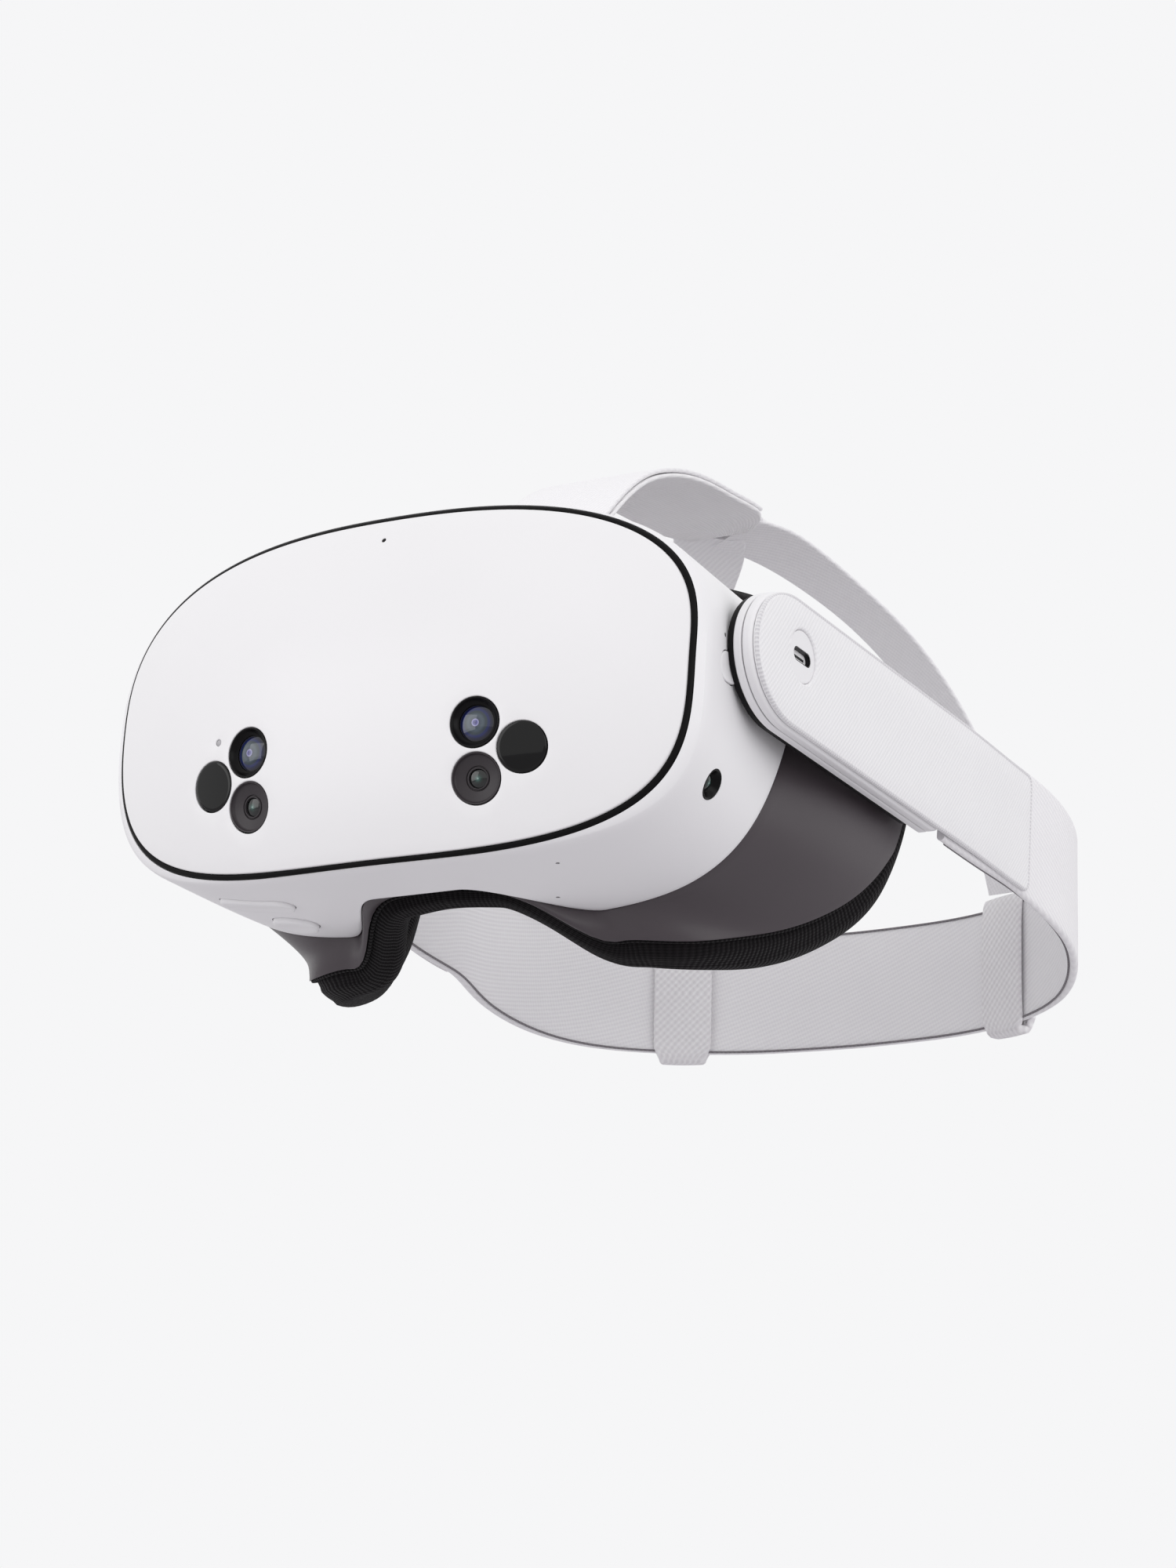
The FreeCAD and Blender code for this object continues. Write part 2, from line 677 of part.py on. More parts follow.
def mainboard():
    half = BOARD_WIDTH / 2
    board = box(-half, half, BOARD_Y, BOARD_Y + BOARD_THICKNESS, BOARD_LOW_Z, BOARD_HIGH_Z)
    corner = 12.0
    for side in (-1, 1):
        notch = box(-corner, corner, BOARD_Y - 1, BOARD_Y + BOARD_THICKNESS + 1, -corner, corner)
        notch.rotate(Vector(0, 0, 0), Vector(0, 1, 0), 45)
        notch.translate(Vector(side * half, 0, BOARD_HIGH_Z))
        board = board.cut(notch)
    return board


def fan_back_y():
    """Y of the side of the fan and heat sink that stands on the mainboard."""
    return BOARD_Y + BOARD_THICKNESS


def fan_housing():
    y0 = fan_back_y()
    drum = cylinder_y(FAN_RADIUS, 0, y0, y0 + FAN_DEPTH, FAN_Z)
    room = cylinder_y(FAN_RADIUS - FAN_WALL, 0, y0 + FAN_WALL, y0 + FAN_DEPTH - FAN_WALL, FAN_Z)
    inlet = cylinder_y(FAN_RADIUS * 0.6, 0, y0 + FAN_DEPTH - 2 * FAN_WALL, y0 + FAN_DEPTH + 1, FAN_Z)
    outlet = box(-FAN_RADIUS * 0.6, FAN_RADIUS * 0.6, y0 + FAN_WALL, y0 + FAN_DEPTH - FAN_WALL,
                 FAN_Z, FAN_Z + FAN_RADIUS + 1)
    return drum.cut(room).cut(inlet).cut(outlet)


def fan_rotor():
    y0 = fan_back_y() + FAN_WALL + FAN_GAP
    y1 = fan_back_y() + FAN_DEPTH - FAN_WALL - FAN_GAP
    tip = FAN_RADIUS - FAN_WALL - FAN_GAP
    hub_radius = 6.0
    rotor = cylinder_y(hub_radius, 0, y0, y1, FAN_Z)
    for i in range(FAN_BLADES):
        blade = box(hub_radius - 0.5, tip - 0.5, y0, y1, -0.5, 0.5)
        blade.rotate(Vector(hub_radius, 0, 0), Vector(0, 1, 0), 20)
        blade.rotate(Vector(0, 0, 0), Vector(0, 1, 0), 360.0 * i / FAN_BLADES)
        blade.translate(Vector(0, 0, FAN_Z))
        rotor = rotor.fuse(blade)
    return rotor.removeSplitter()


def heat_sink():
    y0 = fan_back_y()
    x0 = FAN_RADIUS + 3
    x1 = x0 + HEAT_SINK_WIDTH
    z0 = FAN_Z - HEAT_SINK_HEIGHT / 2
    sink = box(x0, x1, y0, y0 + 2, z0, z0 + HEAT_SINK_HEIGHT)
    pitch = (HEAT_SINK_HEIGHT - FIN_THICKNESS) / (HEAT_SINK_FINS - 1)
    for i in range(HEAT_SINK_FINS):
        z = z0 + i * pitch
        sink = sink.fuse(box(x0, x1, y0, y0 + FAN_DEPTH, z, z + FIN_THICKNESS))
    return sink.removeSplitter()


def battery():
    half = BATTERY_WIDTH / 2
    y0 = fan_back_y() + 0.4
    cell = box(-half, half, y0, y0 + BATTERY_DEPTH, BATTERY_TOP_Z - BATTERY_HEIGHT, BATTERY_TOP_Z)
    edges = [e for e in cell.Edges if abs(e.tangentAt(e.FirstParameter).y) > 0.9]
    return cell.makeFillet(2.0, edges)


def display_panel():
    half_w = DISPLAY_WIDTH / 2
    half_h = DISPLAY_HEIGHT / 2
    return box(-half_w, half_w, DISPLAY_Y, DISPLAY_Y + DISPLAY_THICKNESS, -half_h, half_h)


def display_frame():
    y1 = DISPLAY_Y + DISPLAY_FRAME_DEPTH
    half_w = DISPLAY_WIDTH / 2 + DISPLAY_FRAME_BORDER
    half_h = DISPLAY_HEIGHT / 2 + DISPLAY_FRAME_BORDER
    frame = box(-half_w, half_w, DISPLAY_Y, y1, -half_h, half_h)
    seat = box(-DISPLAY_WIDTH / 2, DISPLAY_WIDTH / 2, DISPLAY_Y - 1, DISPLAY_Y + DISPLAY_THICKNESS,
               -DISPLAY_HEIGHT / 2, DISPLAY_HEIGHT / 2)
    lip = 2.0
    view = box(-DISPLAY_WIDTH / 2 + lip, DISPLAY_WIDTH / 2 - lip, DISPLAY_Y - 1, y1 + 1,
               -DISPLAY_HEIGHT / 2 + lip, DISPLAY_HEIGHT / 2 - lip)
    return frame.cut(seat).cut(view)


def lens_barrel():
    """Left lens barrel: an open cone from the display back to the lens."""
    y0 = DISPLAY_Y + DISPLAY_FRAME_DEPTH + BARREL_GAP
    place = Vector(EYE_HALF_SPACING, y0, 0)
    depth = BARREL_REAR_Y - y0
    outer = Part.makeCone(BARREL_FRONT_RADIUS, BARREL_REAR_RADIUS, depth, place, Vector(0, 1, 0))
    inner = Part.makeCone(BARREL_FRONT_RADIUS - BARREL_WALL, BARREL_REAR_RADIUS - BARREL_WALL, depth,
                          place, Vector(0, 1, 0))
    lens_room = cylinder_y(BARREL_REAR_RADIUS - BARREL_WALL, EYE_HALF_SPACING,
                           BARREL_REAR_Y - OPTIC_THICKNESS, BARREL_REAR_Y + 1, 0)
    return outer.cut(inner).cut(lens_room)


def lens():
    """Left lens: a disc with a gently domed rear face."""
    radius = BARREL_REAR_RADIUS - BARREL_WALL
    disc = cylinder_y(radius, EYE_HALF_SPACING, BARREL_REAR_Y - OPTIC_THICKNESS, BARREL_REAR_Y, 0)
    ball_radius = 4 * radius
    ball = Part.makeSphere(ball_radius, Vector(EYE_HALF_SPACING, BARREL_REAR_Y - ball_radius, 0))
    return disc.common(ball)


def lens_shroud():
    """Thin dark panel round the lenses; its two holes leave the lenses their sideways travel."""
    outline = housing_outline(SHROUD_Y, SHROUD_INSET)
    panel = Part.Face(outline).extrude(Vector(0, SHROUD_THICKNESS, 0))
    panel = panel.common(box(-200, 200, 0, 200, SHROUD_BOTTOM, SHROUD_TOP))
    reach = BARREL_FRONT_RADIUS + SHROUD_HOLE_CLEARANCE
    for side in (-1, 1):
        for shift in (-LENS_TRAVEL, LENS_TRAVEL):
            panel = panel.cut(cylinder_y(reach, side * EYE_HALF_SPACING + shift, 0, 200, 0))
        slot = box(side * EYE_HALF_SPACING - LENS_TRAVEL, side * EYE_HALF_SPACING + LENS_TRAVEL,
                   0, 200, -reach, reach)
        panel = panel.cut(slot)
    half = PROXIMITY_WIDTH / 2
    window = box(-half, half, 0, 200, PROXIMITY_Z - PROXIMITY_HEIGHT / 2, PROXIMITY_Z + PROXIMITY_HEIGHT / 2)
    return panel.cut(window)


def proximity_window():
    half = PROXIMITY_WIDTH / 2
    return box(-half, half, SHROUD_Y, SHROUD_Y + SHROUD_THICKNESS,
               PROXIMITY_Z - PROXIMITY_HEIGHT / 2, PROXIMITY_Z + PROXIMITY_HEIGHT / 2)


# ---- facial interface --------------------------------------------------------------------------
def contour_keys():
    """Middle line of the face foam on the left half, from the nose bridge round to the forehead."""
    return [Vector(0, BRIDGE_Y, BRIDGE_Z),
            Vector(13, BRIDGE_Y + 1.5, BRIDGE_Z - 0.5),
            Vector(25, BRIDGE_Y + 9, BRIDGE_Z - 5),
            Vector(34, BRIDGE_Y + 20.5, CHEEK_Z + 3.5),
            Vector(45, BRIDGE_Y + 26, CHEEK_Z),
            Vector(54, BRIDGE_Y + 32, CHEEK_Z + 0.5),
            Vector(TEMPLE_X - 16, TEMPLE_Y - 51, CHEEK_Z + 3),
            Vector(TEMPLE_X - 7, TEMPLE_Y - 28, CHEEK_Z + 14),
            Vector(TEMPLE_X - 1, TEMPLE_Y - 9, CHEEK_Z + 33),
            Vector(TEMPLE_X, TEMPLE_Y, -2),
            Vector(TEMPLE_X - 3, TEMPLE_Y - 8, 19),
            Vector(TEMPLE_X - 15, FOREHEAD_Y + 23, FOREHEAD_Z - 9),
            Vector(40, FOREHEAD_Y + 8, FOREHEAD_Z - 2),
            Vector(20, FOREHEAD_Y + 1.5, FOREHEAD_Z),
            Vector(0, FOREHEAD_Y, FOREHEAD_Z)]


def contour_curve():
    """Closed foam line as a curve whose parameter is the angle round the visor, from -90 to 270."""
    keys = contour_keys()
    points = []
    angles = []
    for p in keys:
        points.append(p)
        angles.append(math.degrees(math.atan2(p.z / (FACE_BOTTOM + 5), p.x / FACE_HALF_WIDTH)))
    for p, angle in list(zip(points, angles))[-2:0:-1]:
        points.append(Vector(-p.x, p.y, p.z))
        angles.append(180.0 - angle)
    curve = Part.BSplineCurve()
    curve.interpolate(Points=points, Parameters=angles + [270.0], PeriodicFlag=True)
    return curve


CONTOUR = contour_curve()


def contour_frame(angle):
    """Middle of the foam at an angle, and unit directions outward from the face and forward."""
    turned = (angle + 90.0) % 360.0 - 90.0
    centre = CONTOUR.value(turned)
    tangent = Vector(*CONTOUR.tangent(turned)[0])
    forward = Vector(0, -1, 0)
    forward = (forward - tangent * forward.dot(tangent)).normalize()
    return centre, tangent.cross(forward).normalize(), forward


def foam_radius(centre):
    """Radius of the foam tube at a point of its middle line: thinner over the nose."""
    if centre.z > 0:
        return FOAM_RADIUS
    share = smooth_step((abs(centre.x) - NOSE_FOAM_REACH) / (54.0 - NOSE_FOAM_REACH))
    return NOSE_FOAM_RADIUS + (FOAM_RADIUS - NOSE_FOAM_RADIUS) * share


def seat_point(angle, extra):
    """Rear edge of the interface frame, beside the foam; extra moves it away from the foam."""
    centre, outward, forward = contour_frame(angle)
    low_share = smooth_step((centre.z - CHEEK_Z) / -CHEEK_Z)
    top_share = smooth_step(centre.z / FOREHEAD_Z)
    degrees = SEAT_TURN_LOW + (SEAT_TURN_SIDE - SEAT_TURN_LOW) * low_share
    degrees += (SEAT_TURN_TOP - SEAT_TURN_SIDE) * top_share
    turn = math.radians(degrees)
    reach = foam_radius(centre) + FOAM_SEAT_GAP
    return centre + outward * (reach * math.sin(turn) + extra) + forward * (reach * math.cos(turn))


def interface_frame():
    collar = HOUSING_WALL + COLLAR_CLEARANCE
    outer = [ring(lambda a: edge_point(a, -COLLAR_DEPTH, collar)),
             ring(lambda a: edge_point(a, FRAME_GAP, collar)),
             ring(lambda a: edge_point(a, FRAME_GAP, FRAME_STEP)),
             ring(lambda a: seat_point(a, 0))]
    inner = [ring(lambda a: edge_point(a, -COLLAR_DEPTH, collar + FRAME_WALL)),
             ring(lambda a: edge_point(a, FRAME_GAP + FRAME_WALL, collar + FRAME_WALL)),
             ring(lambda a: seat_point(a, -FRAME_WALL))]
    return band_solid(outer, inner)


def face_foam():
    """Closed tube round the face, built as one surface periodic both ways."""
    around = 2 * RING_POINTS // 3
    section = 12
    poles = []
    for i in range(around):
        centre, outward, forward = contour_frame(360.0 * i / around - 90.0)
        radius = foam_radius(centre)
        row = []
        for j in range(section):
            turn = 2 * math.pi * j / section
            row.append(centre + (outward * math.cos(turn) + forward * math.sin(turn)) * radius)
        poles.append(row)
    surface = Part.BSplineSurface()
    surface.buildFromPolesMultsKnots(poles, [1] * (around + 1), [1] * (section + 1),
                                     list(range(around + 1)), list(range(section + 1)), True, True, 3, 3)
    solid = Part.Solid(Part.Shell([surface.toShape()]))
    if solid.Volume < 0:
        solid.reverse()
    return solid


# ---- arms --------------------------------------------------------------------------------------
def arm_turned(shape):
    """A shape modelled with the arm level, tilted to the arm's slope about the pivot."""
    turned = shape.copy()
    turned.rotate(Vector(0, PIVOT_Y, PIVOT_Z), Vector(1, 0, 0), -ARM_SLOPE)
    return turned


def arm_blade(x0, x1, half_height, start, end, end_radius):
    """Level arm blade: elliptical front end, straight edges and a rear end with rounded corners."""
    front = Part.Ellipse(Vector(x0, PIVOT_Y + start - ARM_NOSE_LENGTH, PIVOT_Z),
                         Vector(x0, PIVOT_Y + start, PIVOT_Z - half_height),
                         Vector(x0, PIVOT_Y + start, PIVOT_Z))
    nose = Part.Face(Part.Wire([front.toShape()])).extrude(Vector(x1 - x0, 0, 0))
    body = box(x0, x1, PIVOT_Y + start, PIVOT_Y + end, PIVOT_Z - half_height, PIVOT_Z + half_height)
    corners = [e for e in body.Edges
               if abs(e.CenterOfMass.y - PIVOT_Y - end) < 0.01 and abs(e.tangentAt(e.FirstParameter).x) > 0.9]
    body = body.makeFillet(end_radius, corners)
    return body.fuse(nose).removeSplitter()


def speaker_box(clearance):
    """Block of the speaker, grown by a clearance."""
    y0 = PIVOT_Y + CHAMBER_START + 12 - clearance
    x0 = CHAMBER_X + 1.5 - clearance
    return box(x0, x0 + SPEAKER_THICKNESS + 2 * clearance, y0, y0 + SPEAKER_LENGTH + 2 * clearance,
               PIVOT_Z - SPEAKER_HALF_HEIGHT - clearance, PIVOT_Z + SPEAKER_HALF_HEIGHT + clearance)


def arm_inner_shell():
    blade = arm_blade(ARM_INNER_X, ARM_SEAM_X - SEAM_GAP, ARM_HALF_HEIGHT, 0, ARM_LENGTH, 6.0)
    chamber = arm_blade(CHAMBER_X, ARM_INNER_X, CHAMBER_HALF_HEIGHT, CHAMBER_START + ARM_NOSE_LENGTH / 2,
                        ARM_LENGTH - 6, 8.0)
    shell = blade.fuse(chamber).removeSplitter().cut(speaker_box(0.2))
    return arm_turned(shell).cut(pin_hole(PIN_CLEARANCE))


def arm_outer_shell(with_port):
    shell = arm_blade(ARM_SEAM_X, ARM_OUTER_X, ARM_HALF_HEIGHT, 0, ARM_LENGTH, 6.0)
    if with_port:
        shell = shell.cut(port_cutter())
    return arm_turned(shell)


def arm_fabric(with_port):
    x0 = ARM_OUTER_X + COVER_GAP
    cover = arm_blade(x0, x0 + COVER_THICKNESS, ARM_HALF_HEIGHT - 0.4, 0, COVER_LENGTH, 3.0)
    if with_port:
        cover = cover.cut(trim_disc(0.1))
    return arm_turned(cover)


def speaker():
    return arm_turned(speaker_box(0))


def pivot_pin():
    """Left pivot pin: a flanged stub from inside the housing out into the arm's inner shell."""
    pin = cylinder_x(PIN_RADIUS, PIN_INNER_X, ARM_SEAM_X - SEAM_GAP - 0.6, PIVOT_Y, PIVOT_Z)
    flange = cylinder_x(PIN_FLANGE_RADIUS, PIN_INNER_X, PIN_INNER_X + 1.5, PIVOT_Y, PIVOT_Z)
    return pin.fuse(flange).removeSplitter()


def port_outline(grow):
    """Slot of the USB-C socket, level with the arm, from the trim's face inward."""
    slot = pill(PORT_LENGTH + 2 * grow, PORT_HEIGHT + 2 * grow, PORT_DEPTH)
    slot.rotate(Vector(0, 0, 0), Vector(0, 0, 1), 90)
    slot.rotate(Vector(0, 0, 0), Vector(0, 1, 0), 90)
    outer_face = ARM_OUTER_X + COVER_GAP + COVER_THICKNESS
    slot.translate(Vector(outer_face - PORT_DEPTH, PIVOT_Y + PORT_U, PIVOT_Z + PORT_V))
    return slot


def port_cutter():
    """Room for the socket in the arm's outer shell."""
    return port_outline(PORT_WALL)


def trim_disc(clearance):
    """Round trim about the socket, lying in the fabric cover."""
    x0 = ARM_OUTER_X + COVER_GAP
    return cylinder_x(TRIM_RADIUS + clearance, x0, x0 + COVER_THICKNESS, PIVOT_Y + PORT_U, PIVOT_Z + PORT_V)


def usb_c_trim():
    return arm_turned(trim_disc(0).cut(port_outline(PORT_WALL)))


def usb_c_socket():
    """Thin metal shell of the socket with its tongue, as one node."""
    shell = port_outline(PORT_WALL)
    room = port_outline(0)
    room.translate(Vector(0.8, 0, 0))
    face = ARM_OUTER_X + COVER_GAP + COVER_THICKNESS
    y = PIVOT_Y + PORT_U
    z = PIVOT_Z + PORT_V
    tongue = box(face - PORT_DEPTH + 0.4, face - 1.2, y - 3.2, y + 3.2, z - 0.35, z + 0.35)
    return arm_turned(shell.cut(room).fuse(tongue).removeSplitter())


# ---- strap -------------------------------------------------------------------------------------
def arm_line(u):
    """Height of the arm's middle line at a distance u behind the pivot."""
    return PIVOT_Z - u * math.sin(math.radians(ARM_SLOPE))


def upright(point, tangent):
    """Width direction of the rear band."""
    return Vector(0, 0, 1)


def around_head(point, tangent):
    """Width direction of a strap that lies on the head: square to the way out of the head."""
    out = point - Vector(0, HEAD_CENTRE_Y, 0)
    return tangent.cross(out).normalize()


def band_path():
    """Middle line of the rear band's left half, from the arm to the centre of the back."""
    start = PIVOT_Y + ARM_LENGTH + BAND_START_GAP
    bend = PIVOT_Y + COVER_LENGTH
    return [Vector(BAND_X, start, arm_line(start - PIVOT_Y)),
            Vector(BAND_X, (start + bend) / 2, arm_line((start + bend) / 2 - PIVOT_Y)),
            Vector(BAND_X, bend, arm_line(bend - PIVOT_Y)),
            Vector(BAND_X + 1.5, bend + 16, arm_line(bend - PIVOT_Y) - 4.5),
            Vector(BAND_X + 0.5, BAND_REAR_Y - 54, BAND_REAR_Z + 12),
            Vector(BAND_X - 5, BAND_REAR_Y - 40, BAND_REAR_Z + 7),
            Vector(BAND_X - 14, BAND_REAR_Y - 28, BAND_REAR_Z + 3.5),
            Vector(BAND_X - 27, BAND_REAR_Y - 17.5, BAND_REAR_Z + 1.5),
            Vector(BAND_X - 43, BAND_REAR_Y - 9, BAND_REAR_Z + 0.5),
            Vector(BAND_X - 62, BAND_REAR_Y - 3.5, BAND_REAR_Z),
            Vector(BAND_X - 78, BAND_REAR_Y - 1, BAND_REAR_Z),
            Vector(0, BAND_REAR_Y, BAND_REAR_Z)]


def rear_band():
    half = band_path()
    other = [Vector(-p.x, p.y, p.z) for p in half[-2::-1]]
    return strap_solid(half + other, BAND_HEIGHT, BAND_THICKNESS, upright)


def band_at(x):
    """Middle and tangent of the rear band where it crosses an x."""
    half = band_path()
    curve = Part.BSplineCurve()
    curve.interpolate(Points=half)
    low = curve.FirstParameter
    high = curve.LastParameter
    for _ in range(40):
        middle = (low + high) / 2
        if curve.value(middle).x > x:
            low = middle
        else:
            high = middle
    return curve.value(low), Vector(*curve.tangent(low)[0])


def leg_loop():
    """Left loop: a flat ring of webbing round the rear band."""
    centre, tangent = band_at(LEG_X)
    tangent = Vector(tangent.x, tangent.y, 0).normalize()
    inner_t = BAND_THICKNESS / 2 + LOOP_CLEARANCE
    inner_h = BAND_HEIGHT / 2 + LOOP_DROP
    outer = box(-LOOP_WIDTH / 2, LOOP_WIDTH / 2, -inner_t - LOOP_WALL, inner_t + LOOP_WALL,
                -inner_h - LOOP_WALL, inner_h + LOOP_WALL)
    room = box(-LOOP_WIDTH, LOOP_WIDTH, -inner_t, inner_t, -inner_h, inner_h)
    loop = outer.cut(room)
    loop.rotate(Vector(0, 0, 0), Vector(0, 0, 1), math.degrees(math.atan2(tangent.y, tangent.x)))
    loop.translate(centre)
    return loop


def top_path():
    """Middle line of the top strap, from behind the visor over the head to the crown."""
    return [Vector(0, TOP_START_Y, CROWN_Z - 20),
            Vector(0, TOP_START_Y + 15, CROWN_Z - 10),
            Vector(0, TOP_START_Y + 32, CROWN_Z - 2.8),
            Vector(0, TOP_START_Y + 51, CROWN_Z + 0.6),
            Vector(0, TOP_START_Y + 70, CROWN_Z + 1.2),
            Vector(0, CROWN_Y - 12, CROWN_Z + 0.8),
            Vector(0, CROWN_Y, CROWN_Z)]


def lifted(path, amount):
    """A path moved away from the head's centre by an amount."""
    moved = []
    for p in path:
        out = (p - Vector(p.x, HEAD_CENTRE_Y, 0)).normalize()
        moved.append(p + out * amount)
    return moved


def top_strap_inner():
    return strap_solid(top_path()[:6], TOP_WIDTH, STRAP_THICKNESS, around_head)


def top_strap_outer():
    lift = 2 * (STRAP_THICKNESS + LAYER_GAP)
    return strap_solid(lifted(top_path()[:5], lift), TOP_WIDTH, STRAP_THICKNESS, around_head)


def top_strap_tab():
    """Front end of the top strap, lying on the visor and rising behind it."""
    rest = housing_point(90, TAB_START_Y, 0).z
    path = [Vector(0, TAB_START_Y, rest + 3.2),
            Vector(0, TAB_START_Y + 8, rest + 4.4),
            Vector(0, TAB_START_Y + 16, rest + 8.6),
            Vector(0, TAB_END_Y, rest + 17)]
    return strap_solid(path, TOP_WIDTH, 2 * STRAP_THICKNESS, lambda p, t: Vector(1, 0, 0))


def strap_anchor():
    """Low bracket on top of the housing that holds the top strap's front end."""
    top = housing_point(90, TAB_START_Y, 0).z
    half = TOP_WIDTH / 2 - 3
    return box(-half, half, TAB_START_Y - 1, TAB_START_Y + 9, top - HOUSING_WALL, top + 1.1).cut(
        housing_blank())


def housing_blank():
    """Solid block of the housing's outer form, to shape what sits on it."""
    wires = [housing_outline(y, 0) for y in (TAB_START_Y - 5, TAB_START_Y + 15)]
    return Part.makeLoft(wires, True, True)


def leg_path():
    """Middle line of the left leg of the Y strap, from the fork down to the loop."""
    foot, tangent = band_at(LEG_X)
    top_of_loop = foot.z + BAND_HEIGHT / 2 + LOOP_DROP + LOOP_WALL + 1
    lift = STRAP_THICKNESS + LAYER_GAP
    return [Vector(4, CROWN_Y - 5, CROWN_Z + lift),
            Vector(11, CROWN_Y + 7, CROWN_Z - 2.5 + lift),
            Vector(20, CROWN_Y + 18, CROWN_Z - 8.5),
            Vector(29, CROWN_Y + 27, CROWN_Z - 17.5),
            Vector(38, CROWN_Y + 37, CROWN_Z - 29),
            Vector(45, CROWN_Y + 46.5, CROWN_Z - 42),
            Vector(50.5, CROWN_Y + 56, CROWN_Z - 57),
            Vector(foot.x - 2, foot.y - 9, (CROWN_Z - 57 + top_of_loop) / 2 + 1),
            Vector(foot.x, foot.y, top_of_loop)]


def y_strap():
    """Crown piece and two legs, sewn together at the fork."""
    lift = STRAP_THICKNESS + LAYER_GAP
    crown_keys = lifted(top_path()[4:], lift)
    crown_keys.append(Vector(0, CROWN_Y + 9, CROWN_Z + lift - 1.2))
    crown = strap_solid(crown_keys, Y_WIDTH, STRAP_THICKNESS, around_head)
    leg = strap_solid(leg_path(), LEG_WIDTH, STRAP_THICKNESS, around_head)
    return crown.fuse(leg).fuse(mirrored(leg)).removeSplitter()


# ---- the whole headset -------------------------------------------------------------------------
def build():
    """Every piece by name, in the modelling position."""
    pieces = {
        "faceplate": faceplate(),
        "faceplate_gasket": faceplate_gasket(),
        "housing": housing(),
        "chassis": chassis(),
        "chassis_screws": chassis_screws(),
        "mainboard": mainboard(),
        "heat_sink": heat_sink(),
        "fan_housing": fan_housing(),
        "fan_rotor": fan_rotor(),
        "battery": battery(),
        "display_panel": display_panel(),
        "display_frame": display_frame(),
        "lens_shroud": lens_shroud(),
        "proximity_window": proximity_window(),
        "status_led": status_led(),
        "power_button": power_button(),
        "volume_rocker": volume_rocker(),
        "action_button": action_button(),
        "interface_frame": interface_frame(),
        "face_foam": face_foam(),
        "usb_c_socket": usb_c_socket(),
        "usb_c_trim": usb_c_trim(),
        "rear_band": rear_band(),
        "top_strap_inner": top_strap_inner(),
        "top_strap_outer": top_strap_outer(),
        "top_strap_tab": top_strap_tab(),
        "strap_anchor": strap_anchor(),
        "y_strap": y_strap(),
    }
    barrels = front_cameras(lambda radius: camera_barrel(radius, SENSOR_DEPTH))
    glasses = front_cameras(camera_glass)
    for (kind, side), shape in barrels.items():
        pieces[kind + "_" + side] = shape
        pieces[kind + "_lens_" + side] = glasses[kind, side]
    for side_name, side in (("left", 1), ("right", -1)):
        pieces["infrared_window_" + side_name] = on_front(infrared_window(), side * INFRARED_X, INFRARED_Z, 0)
    pairs = {
        "side_camera": side_camera(lambda radius: camera_barrel(radius, SIDE_CAMERA_DEPTH)),
        "side_camera_lens": side_camera(camera_glass),
        "lens_barrel": lens_barrel(),
        "lens": lens(),
        "pivot_pin": pivot_pin(),
        "arm_inner_shell": arm_inner_shell(),
        "speaker": speaker(),
        "leg_loop": leg_loop(),
    }
    for name, shape in pairs.items():
        pieces[name + "_left"] = shape
        pieces[name + "_right"] = mirrored(shape)
    for side_name, with_port in (("left", True), ("right", False)):
        shell = arm_outer_shell(with_port)
        cover = arm_fabric(with_port)
        pieces["arm_outer_shell_" + side_name] = shell if with_port else mirrored(shell)
        pieces["arm_fabric_" + side_name] = cover if with_port else mirrored(cover)
    return pieces


def overall_box(pieces):
    """Bounding box of the whole headset."""
    total = FreeCAD.BoundBox()
    for shape in pieces.values():
        total.add(shape.optimalBoundingBox(False, False))
    return total


PIECES = build()
TOTAL = overall_box(PIECES)
SHIFT = Vector(-(TOTAL.XMin + TOTAL.XMax) / 2, -(TOTAL.YMin + TOTAL.YMax) / 2, -TOTAL.ZMin)
for piece_name, piece in PIECES.items():
    piece.translate(SHIFT)
    piece.exportStep("parts/" + piece_name + ".step")

print("pieces:", len(PIECES))
print("size in mm: %.1f x %.1f x %.1f" % (TOTAL.XLength, TOTAL.YLength, TOTAL.ZLength))
print("origin shift: %.3f %.3f %.3f" % (SHIFT.x, SHIFT.y, SHIFT.z))
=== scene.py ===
# %% [markdown]
# # A stand-alone virtual reality headset
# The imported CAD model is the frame: every piece below is built in its space, in metres, and rides on
# one of its bodies.  Sizes are worked out in millimetres from the visor's own axes, with Y counted
# from the front-most point of the visor and Z from the middle of its faceplate, because that is how
# a maker would measure it; one function at the end of each piece turns them into the frame's metres.

# %% Load the frame
import json
import math

import bmesh
import bpy
import numpy as np
from mathutils import Matrix, Vector
from mathutils.geometry import delaunay_2d_cdt

